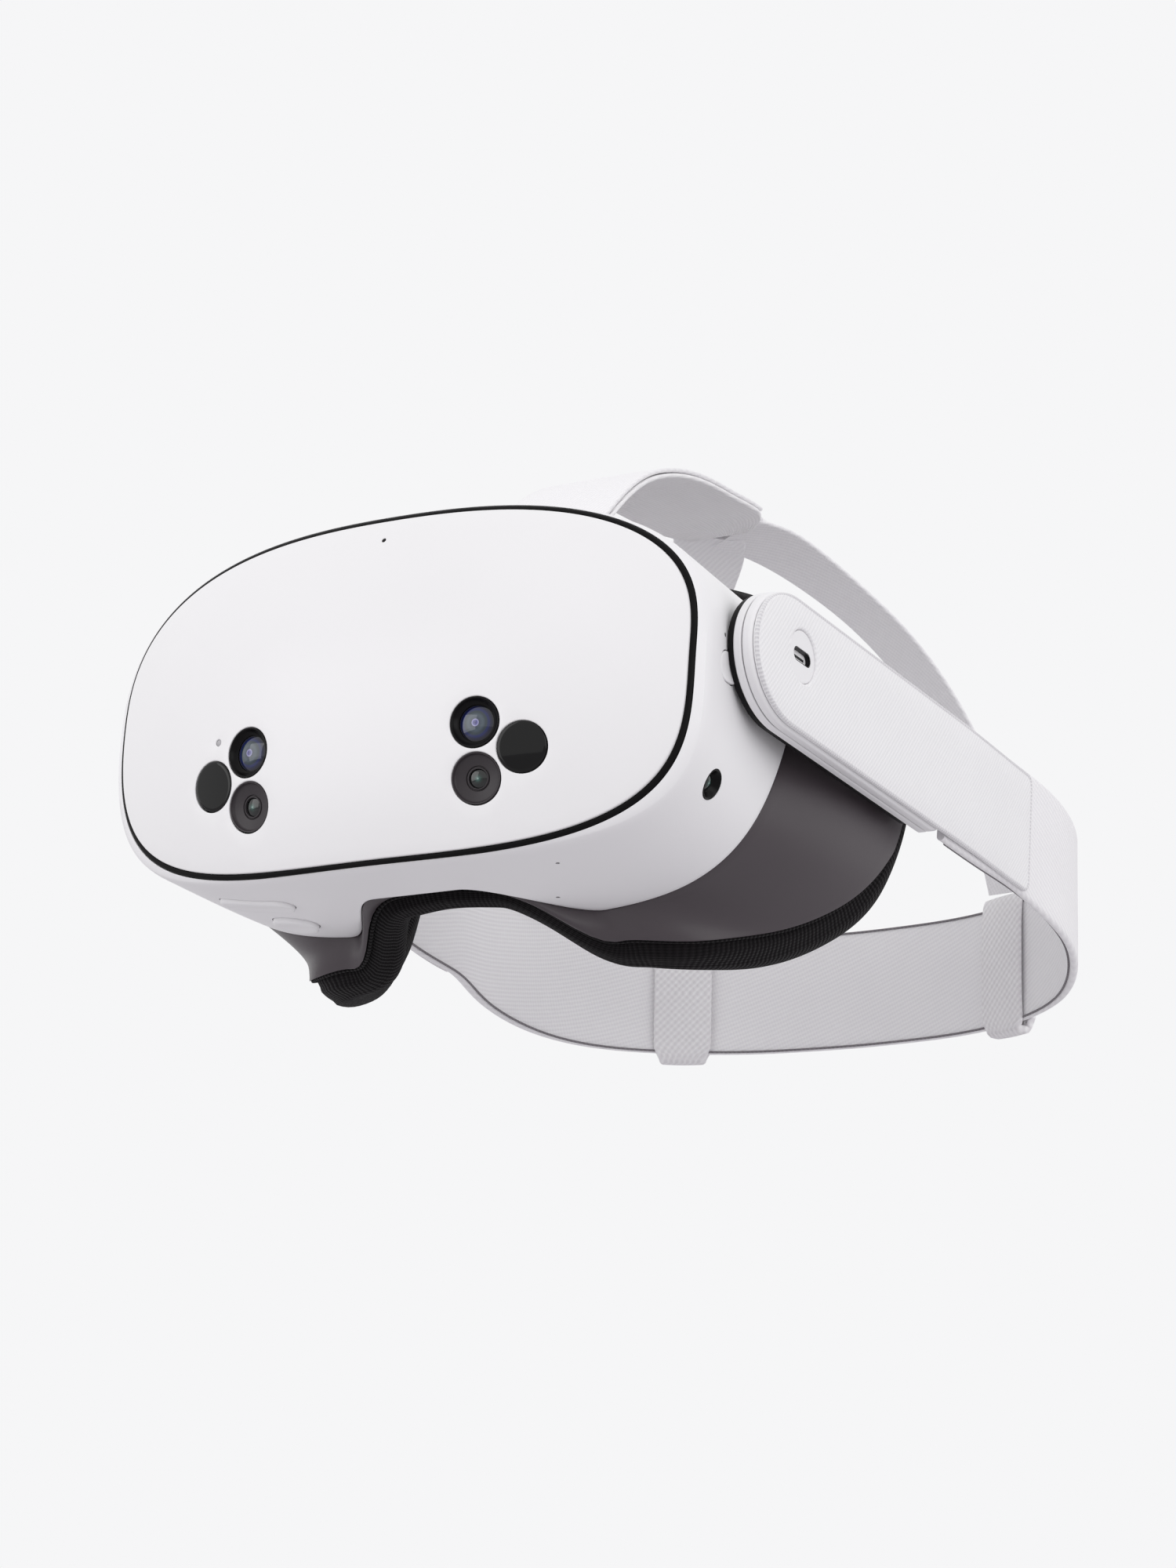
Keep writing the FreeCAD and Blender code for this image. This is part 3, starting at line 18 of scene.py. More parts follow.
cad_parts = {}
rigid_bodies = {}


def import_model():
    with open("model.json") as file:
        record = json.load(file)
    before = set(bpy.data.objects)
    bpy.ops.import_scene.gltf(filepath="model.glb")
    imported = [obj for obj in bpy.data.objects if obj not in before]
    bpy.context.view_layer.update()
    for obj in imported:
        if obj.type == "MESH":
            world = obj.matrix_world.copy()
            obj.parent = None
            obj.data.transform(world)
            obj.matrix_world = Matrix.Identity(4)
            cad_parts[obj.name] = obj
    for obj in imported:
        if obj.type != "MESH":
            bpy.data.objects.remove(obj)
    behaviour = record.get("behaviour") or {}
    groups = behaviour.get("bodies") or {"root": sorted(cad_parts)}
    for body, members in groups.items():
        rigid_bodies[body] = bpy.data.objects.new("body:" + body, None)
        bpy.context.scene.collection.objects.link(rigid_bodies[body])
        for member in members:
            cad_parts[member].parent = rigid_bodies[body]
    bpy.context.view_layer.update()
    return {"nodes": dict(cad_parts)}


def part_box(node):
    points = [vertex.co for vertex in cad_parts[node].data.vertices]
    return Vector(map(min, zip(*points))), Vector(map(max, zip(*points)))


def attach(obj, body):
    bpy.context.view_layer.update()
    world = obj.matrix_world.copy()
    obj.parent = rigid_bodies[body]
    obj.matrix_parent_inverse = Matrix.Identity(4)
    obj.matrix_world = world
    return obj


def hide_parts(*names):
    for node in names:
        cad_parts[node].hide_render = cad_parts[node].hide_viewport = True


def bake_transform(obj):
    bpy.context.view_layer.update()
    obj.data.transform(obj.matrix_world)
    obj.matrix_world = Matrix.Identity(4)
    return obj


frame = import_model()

PIVOT_Y = 57.0      # arm pivot behind the visor's front, mm
PIVOT_Z = 6.5       # and above the middle of the faceplate
pin_low, pin_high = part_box("pivot_pin_left")
SHIFT = np.array([0.0,
                  500 * (pin_low.y + pin_high.y) - PIVOT_Y,
                  500 * (pin_low.z + pin_high.z) - PIVOT_Z])

# %% [markdown]
# ## Camera, floor and light
# The headset is seen from its front left and from a little below, so the floor is well under it and
# the camera stands lower than the visor.  Small lamps would draw hard spots on white plastic, so the
# light is a bright even room with one big soft panel towards each side.  The floor returns less
# light than the room does, which shades the underside.

# %% Units, colours and nodes
def placed(points):
    """Visor millimetres to the frame's metres: add the shift, divide by a thousand."""
    return (np.asarray(points, float) + SHIFT) * 0.001


def linear(hex_colour):
    """An sRGB hex colour as linear red, green, blue and an alpha of 1."""
    srgb = np.array([int(hex_colour[i:i + 2], 16) / 255 for i in (1, 3, 5)])
    low = srgb / 12.92
    high = ((srgb + 0.055) / 1.055) ** 2.4
    return (*np.where(srgb <= 0.04045, low, high), 1.0)


def add(tree, kind, inputs=None, **settings):
    """Adds a node.  settings are its attributes.  inputs are its sockets' values, or the other nodes'
    sockets that are linked to them."""
    node = tree.nodes.new("ShaderNode" + kind)
    for key, value in settings.items():
        setattr(node, key, value)
    for key, value in (inputs or {}).items():
        if isinstance(value, bpy.types.NodeSocket):
            tree.links.new(value, node.inputs[key])
        else:
            node.inputs[key].default_value = value
    return node


print("mid grey in linear light:", round(float(linear("#808080")[0]), 3))

# %% Camera
LENS_MM = 97.2
CAMERA_AT = (578.2, -869.1, -295.1)
CAMERA_RIGHT = (0.86555, 0.50043, 0.02023)
CAMERA_UP = (0.10783, -0.22566, 0.96824)
camera_data = bpy.data.cameras.new("camera")
camera_data.lens = LENS_MM
camera = bpy.data.objects.new("camera", camera_data)
right, up = Vector(CAMERA_RIGHT).normalized(), Vector(CAMERA_UP).normalized()
camera.matrix_world = (Matrix.Translation(Vector(placed(CAMERA_AT)))
                       @ Matrix((right, up, right.cross(up))).transposed().to_4x4())
bpy.context.scene.collection.objects.link(camera)
bpy.context.scene.camera = camera
print("camera at", [round(v, 3) for v in camera.matrix_world.translation])

# %% Floor and bright room
FLOOR_DROP = 0.45   # floor below the headset, m
FLOOR_REACH = 12.0  # half the floor's side, m
floor_mesh = bpy.data.meshes.new("floor")
floor_corners = [(FLOOR_REACH * x, FLOOR_REACH * y, -FLOOR_DROP)
                 for x, y in ((-1, -1), (1, -1), (1, 1), (-1, 1))]
floor_mesh.from_pydata(floor_corners, [], [(0, 1, 2, 3)])
floor = bpy.data.objects.new("floor", floor_mesh)
bpy.context.scene.collection.objects.link(floor)
# matt paint: an even pale grey with no reflection of the headset in it
paint = bpy.data.materials.new("matt floor paint")
paint.use_nodes = True
paint_shader = paint.node_tree.nodes["Principled BSDF"]
paint_shader.inputs["Base Color"].default_value = linear("#c6c4c7")
paint_shader.inputs["Roughness"].default_value = 0.9
floor_mesh.materials.append(paint)
bpy.context.scene.view_settings.view_transform = "Standard"

world = bpy.data.worlds.new("bright room")
world.use_nodes = True
sky = world.node_tree.nodes["Background"]
sky.inputs["Color"].default_value = linear("#f6f6f7")
sky.inputs["Strength"].default_value = 1.0
bpy.context.scene.world = world
print("floor", FLOOR_DROP, "m below the headset")


# %% Soft panels
def soft_panel(name, at, towards, width, height, watts):
    """A rectangular soft light at a point, facing another, both in metres."""
    data = bpy.data.lights.new(name, "AREA")
    data.shape = "RECTANGLE"
    data.size = width
    data.size_y = height
    data.energy = watts
    lamp = bpy.data.objects.new(name, data)
    lamp.matrix_world = (Matrix.Translation(Vector(at))
                         @ (Vector(towards) - Vector(at)).to_track_quat("-Z", "Y").to_matrix().to_4x4())
    bpy.context.scene.collection.objects.link(lamp)


PANEL_AIM = (0, 0, 0.05)    # a point inside the headset, m
soft_panel("key_panel", (-1.0, -1.7, 0.45), PANEL_AIM, width=1.4, height=1.4, watts=8)
soft_panel("fill_panel", (1.6, -0.5, 0.35), PANEL_AIM, width=1.4, height=1.0, watts=5)
print("lights:", [lamp.name for lamp in bpy.data.lights])

# %% [markdown]
# ## Building blocks
# Every new piece is a grid of points over two parameters, computed as whole arrays.  A *patch* is such
# a grid with its own flat coordinates in millimetres, so that weave and ribs follow the surface.  A
# piece is one or more patches, welded where they meet.

# %% Patches
def smooth_step(value):
    """0 below 0, 1 above 1, and 3v^2 - 2v^3 between."""
    clamped = np.clip(value, 0.0, 1.0)
    return clamped * clamped * (3.0 - 2.0 * clamped)


def patch(points, wrap_u=False, wrap_v=False, u=None, v=None, finish=0):
    """Quads over an (n, m, 3) grid.  u and v are the flat coordinates of its rows and columns, in mm."""
    n, m = points.shape[:2]
    rows, columns = n if wrap_u else n - 1, m if wrap_v else m - 1
    i, j = np.meshgrid(np.arange(rows), np.arange(columns), indexing="ij")
    i, j = i.ravel(), j.ravel()
    corners = [(i, j), (i + 1, j), (i + 1, j + 1), (i, j + 1)]
    quads = np.stack([(a % n) * m + b % m for a, b in corners], 1)
    flat = np.zeros((len(i), 4, 2))
    if u is not None:
        flat[..., 0] = np.stack([u[a] for a, b in corners], 1)
        flat[..., 1] = np.stack([v[b] for a, b in corners], 1)
    return points.reshape(-1, 3), quads, flat, finish


def lid(points, finish=0):
    """One many-sided face over a closed ring of points."""
    flat = np.zeros((1, len(points), 2))
    return points, np.arange(len(points))[None], flat, finish


def arc_length(points):
    """Running length along a line of points, in mm, starting at 0."""
    steps = np.linalg.norm(np.diff(points, axis=0), axis=1)
    return np.concatenate([[0.0], np.cumsum(steps)])


print("a grid of 3 by 4 points makes", len(patch(np.zeros((3, 4, 3)))[1]), "quads")

# %% Meshes and pieces
WELD_MM = 0.01      # points of two patches nearer than this become one


def mesh_of(name, patches):
    """A mesh in the frame's metres from patches in mm, welded and with its faces outwards."""
    points = placed(np.concatenate([p[0] for p in patches]))
    faces, flats, finishes, first = [], [], [], 0
    for p in patches:
        faces += (p[1] + first).tolist()
        flats.append(p[2].reshape(-1, 2))
        finishes.append(np.full(len(p[1]), p[3]))
        first += len(p[0])
    mesh = bpy.data.meshes.new(name)
    mesh.from_pydata(points.tolist(), [], faces)
    mesh.uv_layers.new(name="flat_mm").data.foreach_set("uv", np.concatenate(flats).ravel())
    mesh.polygons.foreach_set("material_index", np.concatenate(finishes).astype(np.int32))
    grid = bmesh.new()
    grid.from_mesh(mesh)
    bmesh.ops.remove_doubles(grid, verts=grid.verts, dist=WELD_MM * 0.001)
    bmesh.ops.recalc_face_normals(grid, faces=grid.faces)
    grid.to_mesh(mesh)
    grid.free()
    return mesh


def piece(name, patches, finishes, body, stands_for=(), sharp=35.0):
    """A finished piece: mesh, smooth shading up to an angle, finishes, and the CAD body it rides on."""
    mesh = patches if isinstance(patches, bpy.types.Mesh) else mesh_of(name, patches)
    mesh.materials.clear()
    for finish in finishes:
        mesh.materials.append(finish)
    mesh.polygons.foreach_set("use_smooth", np.ones(len(mesh.polygons), bool))
    mesh.set_sharp_from_angle(angle=math.radians(sharp))
    made = bpy.data.objects.new(name, mesh)
    bpy.context.scene.collection.objects.link(made)
    if body:
        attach(made, body)
    if stands_for:
        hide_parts(*stands_for)
    print(name, len(mesh.polygons), "faces")
    return made


def mirrored(patches):
    """The same patches on the wearer's other side: x changes sign."""
    return [(p[0] * (-1, 1, 1), p[1], p[2], p[3]) for p in patches]


print("points closer than", WELD_MM, "mm are welded")


# %% Smooth lines
def spline(knots, points, period=None):
    """Cubic with continuous curvature through points at knots, open with straight ends or closed.

    The second derivatives M solve  h0 M0 + 2 (h0 + h1) M1 + h1 M2 = 6 (slope1 - slope0)  at each knot.
    """
    knots, points = np.asarray(knots, float), np.asarray(points, float)
    if period:
        knots = np.append(knots, knots[0] + period)
        points = np.vstack([points, points[:1]])
    h = np.diff(knots)
    slope = np.diff(points, axis=0) / h[:, None]
    count = len(points) - 1 if period else len(points)
    system, right_side = np.eye(count), np.zeros((count, points.shape[1]))
    for k in range(0 if period else 1, count if period else count - 1):
        system[k] = 0
        system[k, k - 1] += h[k - 1]
        system[k, k] += 2 * (h[k - 1] + h[k])
        system[k, (k + 1) % count] += h[k]
        right_side[k] = 6 * (slope[k] - slope[k - 1])
    bend = np.linalg.solve(system, right_side)
    if period:
        bend = np.vstack([bend, bend[:1]])

    def at(t):
        t = np.asarray(t, float)
        if period:
            t = (t - knots[0]) % period + knots[0]
        k = np.clip(np.searchsorted(knots, t, side="right") - 1, 0, len(h) - 1)
        a, b, s = (knots[k + 1] - t)[:, None], (t - knots[k])[:, None], h[k][:, None]
        return ((bend[k] * a**3 + bend[k + 1] * b**3) / (6 * s)
                + (points[k] / s - bend[k] * s / 6) * a + (points[k + 1] / s - bend[k + 1] * s / 6) * b)
    return at


def along(keys, count):
    """count points evenly spaced along the smooth line through keys."""
    keys = np.asarray(keys, float)
    knots = arc_length(keys)
    fine = spline(knots, keys)(np.linspace(0, knots[-1], 40 * len(keys)))
    length = arc_length(fine)
    even = np.linspace(0, length[-1], count)
    return np.stack([np.interp(even, length, fine[:, axis]) for axis in range(3)], 1)


def unit(vectors):
    """Vectors scaled to a length of 1."""
    return vectors / np.linalg.norm(vectors, axis=-1, keepdims=True)


print("height of a spline through 0, 1 and 0 at its middle:", spline([0, 1, 2], [[0], [1], [0]])([1.0])[0, 0])

# %% [markdown]
# ## Finishes
# The shells are moulded ABS with a fine spark-eroded texture, which scatters highlights into a soft
# sheen.  Gaskets are silicone, camera barrels are black anodised or moulded, windows are polished
# acrylic.  Each is one function of a few nodes, so that two plastics differ only in their numbers.
# A real spark texture is about 0.2 mm across.  It is drawn at 0.3 to 0.6 mm, because a finer one is
# lost between the samples of a render of the whole headset.

# %% Moulded plastics
CLOUD_MM = 60.0         # size of the slow clouds of colour
ROUGH_SPREAD = 0.05     # how far the grain varies the roughness


def new_finish(name, roughness, metallic=0.0, ior=1.5):
    """A named material and its Principled node with the constants set on its own sockets."""
    made = bpy.data.materials.new(name)
    made.use_nodes = True
    shader = made.node_tree.nodes["Principled BSDF"]
    shader.inputs["Roughness"].default_value = roughness
    shader.inputs["Metallic"].default_value = metallic
    shader.inputs["IOR"].default_value = ior
    return made, made.node_tree, shader


def bump_on(tree, shader, height, depth_mm, strength=1.0):
    """Height from 0 to 1, standing depth_mm tall, bent into the shader's normal."""
    node = add(tree, "Bump", {"Height": height, "Distance": depth_mm * 0.001, "Strength": strength})
    tree.links.new(node.outputs["Normal"], shader.inputs["Normal"])


def moulded(name, light, dark, roughness, grain_mm=0.45, grain_depth=0.012, shine=0.5):
    """Injection moulded plastic: two close colours in slow clouds, and a fine spark texture."""
    made, tree, shader = new_finish(name, roughness)
    shader.inputs["Specular IOR Level"].default_value = shine
    where = add(tree, "TexCoord").outputs["Object"]
    clouds = add(tree, "TexNoise", {"Vector": where, "Scale": 1000 / CLOUD_MM, "Detail": 2.0})
    colour = add(tree, "Mix", {"Factor": clouds.outputs["Fac"], "A": linear(light), "B": linear(dark)},
                 data_type="RGBA")
    tree.links.new(colour.outputs["Result"], shader.inputs["Base Color"])
    grain = add(tree, "TexNoise", {"Vector": where, "Scale": 1000 / grain_mm, "Detail": 1.0})
    rough = add(tree, "MapRange", {"Value": grain.outputs["Fac"], "To Min": roughness - ROUGH_SPREAD,
                                   "To Max": roughness + ROUGH_SPREAD})
    tree.links.new(rough.outputs["Result"], shader.inputs["Roughness"])
    bump_on(tree, shader, grain.outputs["Fac"], grain_depth)
    return made


print("slow clouds are", CLOUD_MM, "mm across")

# %% Polished windows and coated lenses
ACRYLIC_IOR, LENS_IOR = 1.49, 1.6
HAZE_MM, HAZE_SPREAD = 5.0, 0.04        # size of a finger smear, and how much it dulls the gloss


def polished(name, colour, roughness, coat=0.0, shine=0.5):
    """Polished acrylic or glass over black: one deep colour, a smear of finger haze in the roughness."""
    made, tree, shader = new_finish(name, roughness, ior=ACRYLIC_IOR)
    shader.inputs["Base Color"].default_value = linear(colour)
    shader.inputs["Coat Weight"].default_value = coat
    shader.inputs["Specular IOR Level"].default_value = shine
    where = add(tree, "TexCoord").outputs["Object"]
    haze = add(tree, "TexNoise", {"Vector": where, "Scale": 1000 / HAZE_MM, "Detail": 3.0})
    rough = add(tree, "MapRange", {"Value": haze.outputs["Fac"], "To Min": roughness,
                                   "To Max": roughness + HAZE_SPREAD})
    tree.links.new(rough.outputs["Result"], shader.inputs["Roughness"])
    return made


def coated_lens(name, bands):
    """A coated lens: colour by distance from its middle, read from the piece's own flat map (v in mm); its
    pale bands are painted highlights.
    """
    made, tree, shader = new_finish(name, 0.06, ior=LENS_IOR)
    shader.inputs["Coat Weight"].default_value = 0.6
    shader.inputs["Specular IOR Level"].default_value = 0.3
    flat = add(tree, "SeparateXYZ", {"Vector": add(tree, "UVMap", uv_map="flat_mm").outputs["UV"]})
    reach = bands[-1][0]
    share = add(tree, "Math", {0: flat.outputs["Y"], 1: reach}, operation="DIVIDE")
    ramp = add(tree, "ValToRGB", {"Fac": share.outputs["Value"]})
    ramp.color_ramp.interpolation = "EASE"
    stops = ramp.color_ramp.elements
    stops[0].position, stops[0].color = bands[0][0] / reach, linear(bands[0][1])
    stops[1].position, stops[1].color = 1.0, linear(bands[-1][1])
    for radius, colour in bands[1:-1]:
        stops.new(radius / reach).color = linear(colour)
    tree.links.new(ramp.outputs["Color"], shader.inputs["Base Color"])
    return made


print("acrylic bends light by an index of", ACRYLIC_IOR)

# %% The plastics, rubbers and glasses of this headset
# moulded ABS of the shells: an even white without glare, because its texture scatters the light
SHELL = moulded("white moulded ABS", "#f3f2f3", "#ecebed", 0.42)
# the faceplate's finer texture: a little glossier, so light fades across it in a soft gradient
FACE = moulded("white moulded faceplate", "#f0eff0", "#ebeaeb", 0.34, grain_depth=0.008)
# the buttons' ABS: a touch darker than the shell, so a cap reads as a piece of its own
BUTTON = moulded("white moulded button", "#f1f0f1", "#e9e8ea", 0.38)
# silicone of the front gasket: a dull black line with almost no highlight
GASKET = moulded("black silicone gasket", "#060506", "#0a090a", 0.5, shine=0.12)
# soft touch elastomer of the interface: warm charcoal with a broad satin highlight
SOFT_GREY = moulded("charcoal soft touch elastomer", "#4b4448", "#433d41", 0.38, 0.6, 0.006, 0.4)
# polycarbonate of the camera barrels: deep black, with a thin highlight on each rim
BLACK = moulded("black moulded polycarbonate", "#060506", "#090809", 0.3, shine=0.14)
# inside of the housing: dull black that hides what is behind the lenses
INNER = moulded("black inner moulding", "#131213", "#1a191a", 0.5, shine=0.2)
# anodised aluminium, under a dye thick enough to hide the metal: charcoal, lighter than the black barrels
BARREL = moulded("charcoal anodised barrel", "#3a3538", "#302c2f", 0.38, 0.3, 0.006, 0.3)
# black plate between arm and housing: painted shade of the gap there, a black line that sets the arm off
GAP_SHADE_BLACK = moulded("black painted gap shade", "#0a090a", "#100e10", 0.5, shine=0.15)
# grey sheet in the arm's joint and round the buttons: painted shade in those gaps, a soft grey line, not a
# black one
SEAM_SHADE_GREY = moulded("grey painted seam shade", "#4b474a", "#5a5659", 0.5, shine=0.2)
# acrylic that lets only infrared through: a plain black disc that mirrors the room faintly
WINDOW = polished("black infrared acrylic", "#010101", 0.02, shine=0.35)
# coated glass of the colour cameras: violet in the middle with a pale ring of painted highlight, then
# grey-green and deep blue rings
COLOUR_GLASS = coated_lens("blue coated lens with painted highlight ring", [(0.0, "#3c3a66"), (0.6, "#5c5a90"), (0.85, "#9897be"),
                                                (1.1, "#3c4452"), (2.0, "#46525c"), (2.9, "#2c3840"),
                                                (3.5, "#182358"), (4.1, "#0c1034"), (4.7, "#030305")])
# coated glass of the tracking cameras: a small painted highlight of pale green in the middle of near black
TRACK_GLASS = coated_lens("green coated lens with painted glint", [(0.0, "#8aa59c"), (0.4, "#31504a"), (1.0, "#10241f"),
                                                (1.5, "#070d0c"), (2.6, "#020303")])
print("plastics:", [m.name for m in bpy.data.materials])

# %% [markdown]
# ## The faceplate
# The real faceplate is one thin moulding, bent two ways, with a crisp edge and round openings for the
# sensors.  A flat triangulation of its outline with the holes left out is lifted on to the curved
# front, so the surface stays smooth up to each hole; a band of rings carries every rounded edge.

# %% Front surface and outlines
FACE_HALF_WIDTH, FACE_TOP, FACE_BOTTOM, FACE_CENTRE_Z = 86.4, 43.7, 49.2, 2.4
BOW_ACROSS, CURL_ACROSS, BOW_UPRIGHT, FOREMOST_Z = 490.2, 6.16e-8, 227.8, -10.4
TOP_POWER, BOTTOM_POWER, REAR_POWER = 2.76, 3.33, 4.0
GASKET_WIDTH, RIM_WIDTH = 1.4, 0.8


def front_depth(x, z):
    """Depth of the front behind its foremost point: two parabolas and a fourth power towards the temples."""
    return x * x / BOW_ACROSS + CURL_ACROSS * x**4 + (z - FOREMOST_Z)**2 / BOW_UPRIGHT


def superellipse(angle, half_width, top, bottom, top_power, bottom_power):
    """x and z where |x/a|^p + |z/b|^p = 1, at angles in degrees, with its own b and p above and below."""
    c, s = np.cos(np.radians(angle)), np.sin(np.radians(angle))
    power = np.where(s >= 0, top_power, bottom_power)
    stretch = (np.abs(c)**power + np.abs(s)**power)**(-1.0 / power)
    return half_width * c * stretch, FACE_CENTRE_Z + np.where(s >= 0, top, bottom) * s * stretch


def face_outline(angle, grow):
    """The faceplate's outline grown by grow."""
    return superellipse(angle, FACE_HALF_WIDTH + grow, FACE_TOP + grow, FACE_BOTTOM + grow,
                        TOP_POWER, BOTTOM_POWER)


def evenly(ring, count):
    """count points evenly round a closed ring."""
    closed = np.vstack([ring, ring[:1]])
    length = arc_length(closed)
    even = np.linspace(0, length[-1], count, endpoint=False)
    return np.stack([np.interp(even, length, closed[:, axis]) for axis in range(ring.shape[1])], 1)


FACE_ANGLES = np.linspace(0, 360, 720, endpoint=False)
even_x, even_z = evenly(np.stack(face_outline(FACE_ANGLES, 0), 1), 320).T
FACE_EVEN = np.degrees(np.arctan2((even_z - FACE_CENTRE_Z) / FACE_TOP, even_x / FACE_HALF_WIDTH))
print("front edge at the temple", round(float(front_depth(FACE_HALF_WIDTH, FACE_CENTRE_Z)), 1), "mm deep")


# %% [markdown]
# ## Plates with holes
# The faceplate and the blades of the arms are all plates.  A grid of squares can't end neatly at a
# round hole, so the flat is filled with triangles whose corners lie on the outline and on each hole.

# %% Filling an outline
def inside(points, ring):
    """Which points lie inside a closed ring, by counting the edges to their right."""
    x, z = points[:, :1], points[:, 1:]
    ax, az = ring.T
    bx, bz = np.roll(ring, -1, axis=0).T
    spans = (az > z) != (bz > z)
    cross = ax + (z - az) / np.where(bz == az, 1e-9, bz - az) * (bx - ax)
    return np.sum(spans & (cross > x), axis=1) % 2 == 1


def filled(outer, holes, spacing):
    """Points and triangles that fill a ring, leaving out the rings in holes."""
    low, high = outer.min(0), outer.max(0)
    lattice = np.stack(np.meshgrid(np.arange(low[0], high[0], spacing),
                                   np.arange(low[1], high[1], spacing)), -1).reshape(-1, 2)
    rings = [outer] + holes
    every = np.concatenate(rings)
    near = np.array([np.min(np.sum((every - p)**2, 1)) for p in lattice]) < (0.7 * spacing)**2
    keep = inside(lattice, outer) & ~near
    for hole in holes:
        keep &= ~inside(lattice, hole)
    edges, first = [], 0
    for ring in rings:
        index = first + np.arange(len(ring))
        edges += np.stack([index, np.roll(index, -1)], 1).tolist()
        first += len(ring)
    vectors = [Vector(p) for p in np.concatenate([every, lattice[keep]])]
    made = delaunay_2d_cdt(vectors, edges, [], 0, 1e-5)
    points, triangles = np.array(made[0]), np.array(made[2])
    centres = points[triangles].mean(1)
    good = inside(centres, outer)
    for hole in holes:
        good &= ~inside(centres, hole)
    return points, triangles[good]


print("a square of 2 mm fills with",
      len(filled(np.array([(0.0, 0), (2, 0), (2, 2), (0, 2)]), [], 1.0)[1]), "triangles")


# %% Plates
def rounding(radius, thickness, count=5):
    """(inset, drop) of a plate's edge from its back face round to its front, as a quarter circle."""
    turn = np.radians(np.linspace(0, 90, count))
    curve = np.stack([radius * (1 - np.cos(turn)), radius * (1 - np.sin(turn))], 1)
    return np.vstack([[radius, thickness], [0.0, thickness], curve])


def plate(outline, holes, edge, spacing, to_space, crown=None):
    """A closed plate.  outline(inset) and each hole(inset) are rings, edge is a list of (inset, drop),
    and to_space(u, v, drop) lifts flat points into the visor's space, drop below its front."""
    thickness = edge[0][1]
    depth = (lambda u, v: 0 * u) if crown is None else crown
    made = []
    for ring_at in [outline] + holes:
        rings = np.stack([ring_at(inset) for inset, drop in edge])
        drops = np.array([drop for inset, drop in edge])[:, None]
        front = np.arange(len(edge))[:, None] > 1
        drops = drops + np.where(front, depth(rings[..., 0], rings[..., 1]), 0)
        points = to_space(rings[..., 0], rings[..., 1], drops)
        closed = np.vstack([rings[-1], rings[-1][:1]])
        made.append(patch(points, wrap_v=True, u=arc_length(edge), v=arc_length(closed)))
    last = edge[-1][0]
    flat, triangles = filled(outline(last), [hole(last) for hole in holes], spacing)
    u, v = flat.T
    corners = np.stack([flat[triangles[:, k]] for k in range(3)], 1)
    made.append((to_space(u, v, depth(u, v)), triangles, corners, 0))
    made.append((to_space(u, v, 0 * u + thickness), triangles, corners, 0))
    return made


def circle(x, z, radius, count=48):
    """A round hole: a ring that grows as its inset into the plate grows."""
    turn = np.linspace(0, 2 * np.pi, count, endpoint=False)
    return lambda inset: np.stack([x + (radius + inset) * np.cos(turn),
                                   z + (radius + inset) * np.sin(turn)], 1)


print("a plate's rounded edge:", rounding(0.5, 2.0).round(2).tolist())

# %% The faceplate and its openings
SENSOR_RADIUS, SENSOR_X, INFRARED_X, INFRARED_Z = 6.75, 34.5, 46.9, -22.4
COLOUR_Z, TRACKING_Z = -15.2, -29.5
LED_X, LED_Z, LED_RADIUS = -45.0, -11.0, 0.9
PINHOLE_Z, PINHOLE_RADIUS = 40.0, 0.55
FACE_ROUNDING, FACE_WALL, FACE_MESH = 0.35, 2.2, 3.0    # edge radius, thickness and triangle size, mm


def on_front(x, z, drop):
    """Lifts flat points to the curved front, drop behind its surface."""
    return np.stack([x, front_depth(x, z) + drop, z], -1)


holes = [circle(side * x, z, SENSOR_RADIUS) for side in (1, -1)
         for x, z in ((SENSOR_X, COLOUR_Z), (SENSOR_X, TRACKING_Z), (INFRARED_X, INFRARED_Z))]
holes += [circle(LED_X, LED_Z, LED_RADIUS, 20), circle(0, PINHOLE_Z, PINHOLE_RADIUS, 16)]
faceplate_patches = plate(lambda inset: np.stack(face_outline(FACE_EVEN, -inset), 1), holes,
                          rounding(FACE_ROUNDING, FACE_WALL), FACE_MESH, on_front)
piece("faceplate_skin", faceplate_patches, [FACE], "visor", ["faceplate"])


# %% [markdown]
# ## Gasket and housing
# A silicone gasket sits in a groove between the faceplate and the housing.  The housing is one tube:
# its outline starts as the faceplate's and turns squarer towards the face, and its rear edge rises
# from the cheeks to the temples.  It is built as rings round that outline, so the soft front edge,
# the rear lip and the inner wall are all one skin; the openings are then cut out of the solid.

# %% Rings of the gasket and the housing
EDGE_LOW_Y, EDGE_HIGH_Y, EDGE_RISE, FOREHEAD_CUT = 62.0, 90.0, 65.0, 10.0
NOSE_CUT, NOSE_HALF_INNER, NOSE_HALF_OUTER = 30.0, 12.0, 40.0
HOUSING_WALL, SEAT_WALL = 2.4, 3.2
SIDE_TAPER, SIDE_TAPER_FROM, TOP_TAPER, TOP_TAPER_FROM, BOTTOM_FLARE = 0.136, 36.0, 0.05, 18.0, 0.078


def face_ring(angle, grow, sink):
    """Ring on the front surface, grown by grow and set back by sink."""
    x, z = face_outline(angle, grow)
    return np.stack([x, front_depth(x, z) + sink, z], -1)


def housing_ring(angle, y, inset):
    """Ring of the housing's outer surface at depth y, moved inward by inset."""
    border = GASKET_WIDTH + RIM_WIDTH
    blend = smooth_step(y / EDGE_LOW_Y)
    x, z = superellipse(angle, FACE_HALF_WIDTH + border + SIDE_TAPER * (SIDE_TAPER_FROM - y) - inset,
                        FACE_TOP + border + TOP_TAPER * (TOP_TAPER_FROM - y) - inset,
                        FACE_BOTTOM + border / 2 + BOTTOM_FLARE * y - inset,
                        TOP_POWER, BOTTOM_POWER + (REAR_POWER - BOTTOM_POWER) * blend)
    return np.stack([x, y + 0 * x, z], -1)


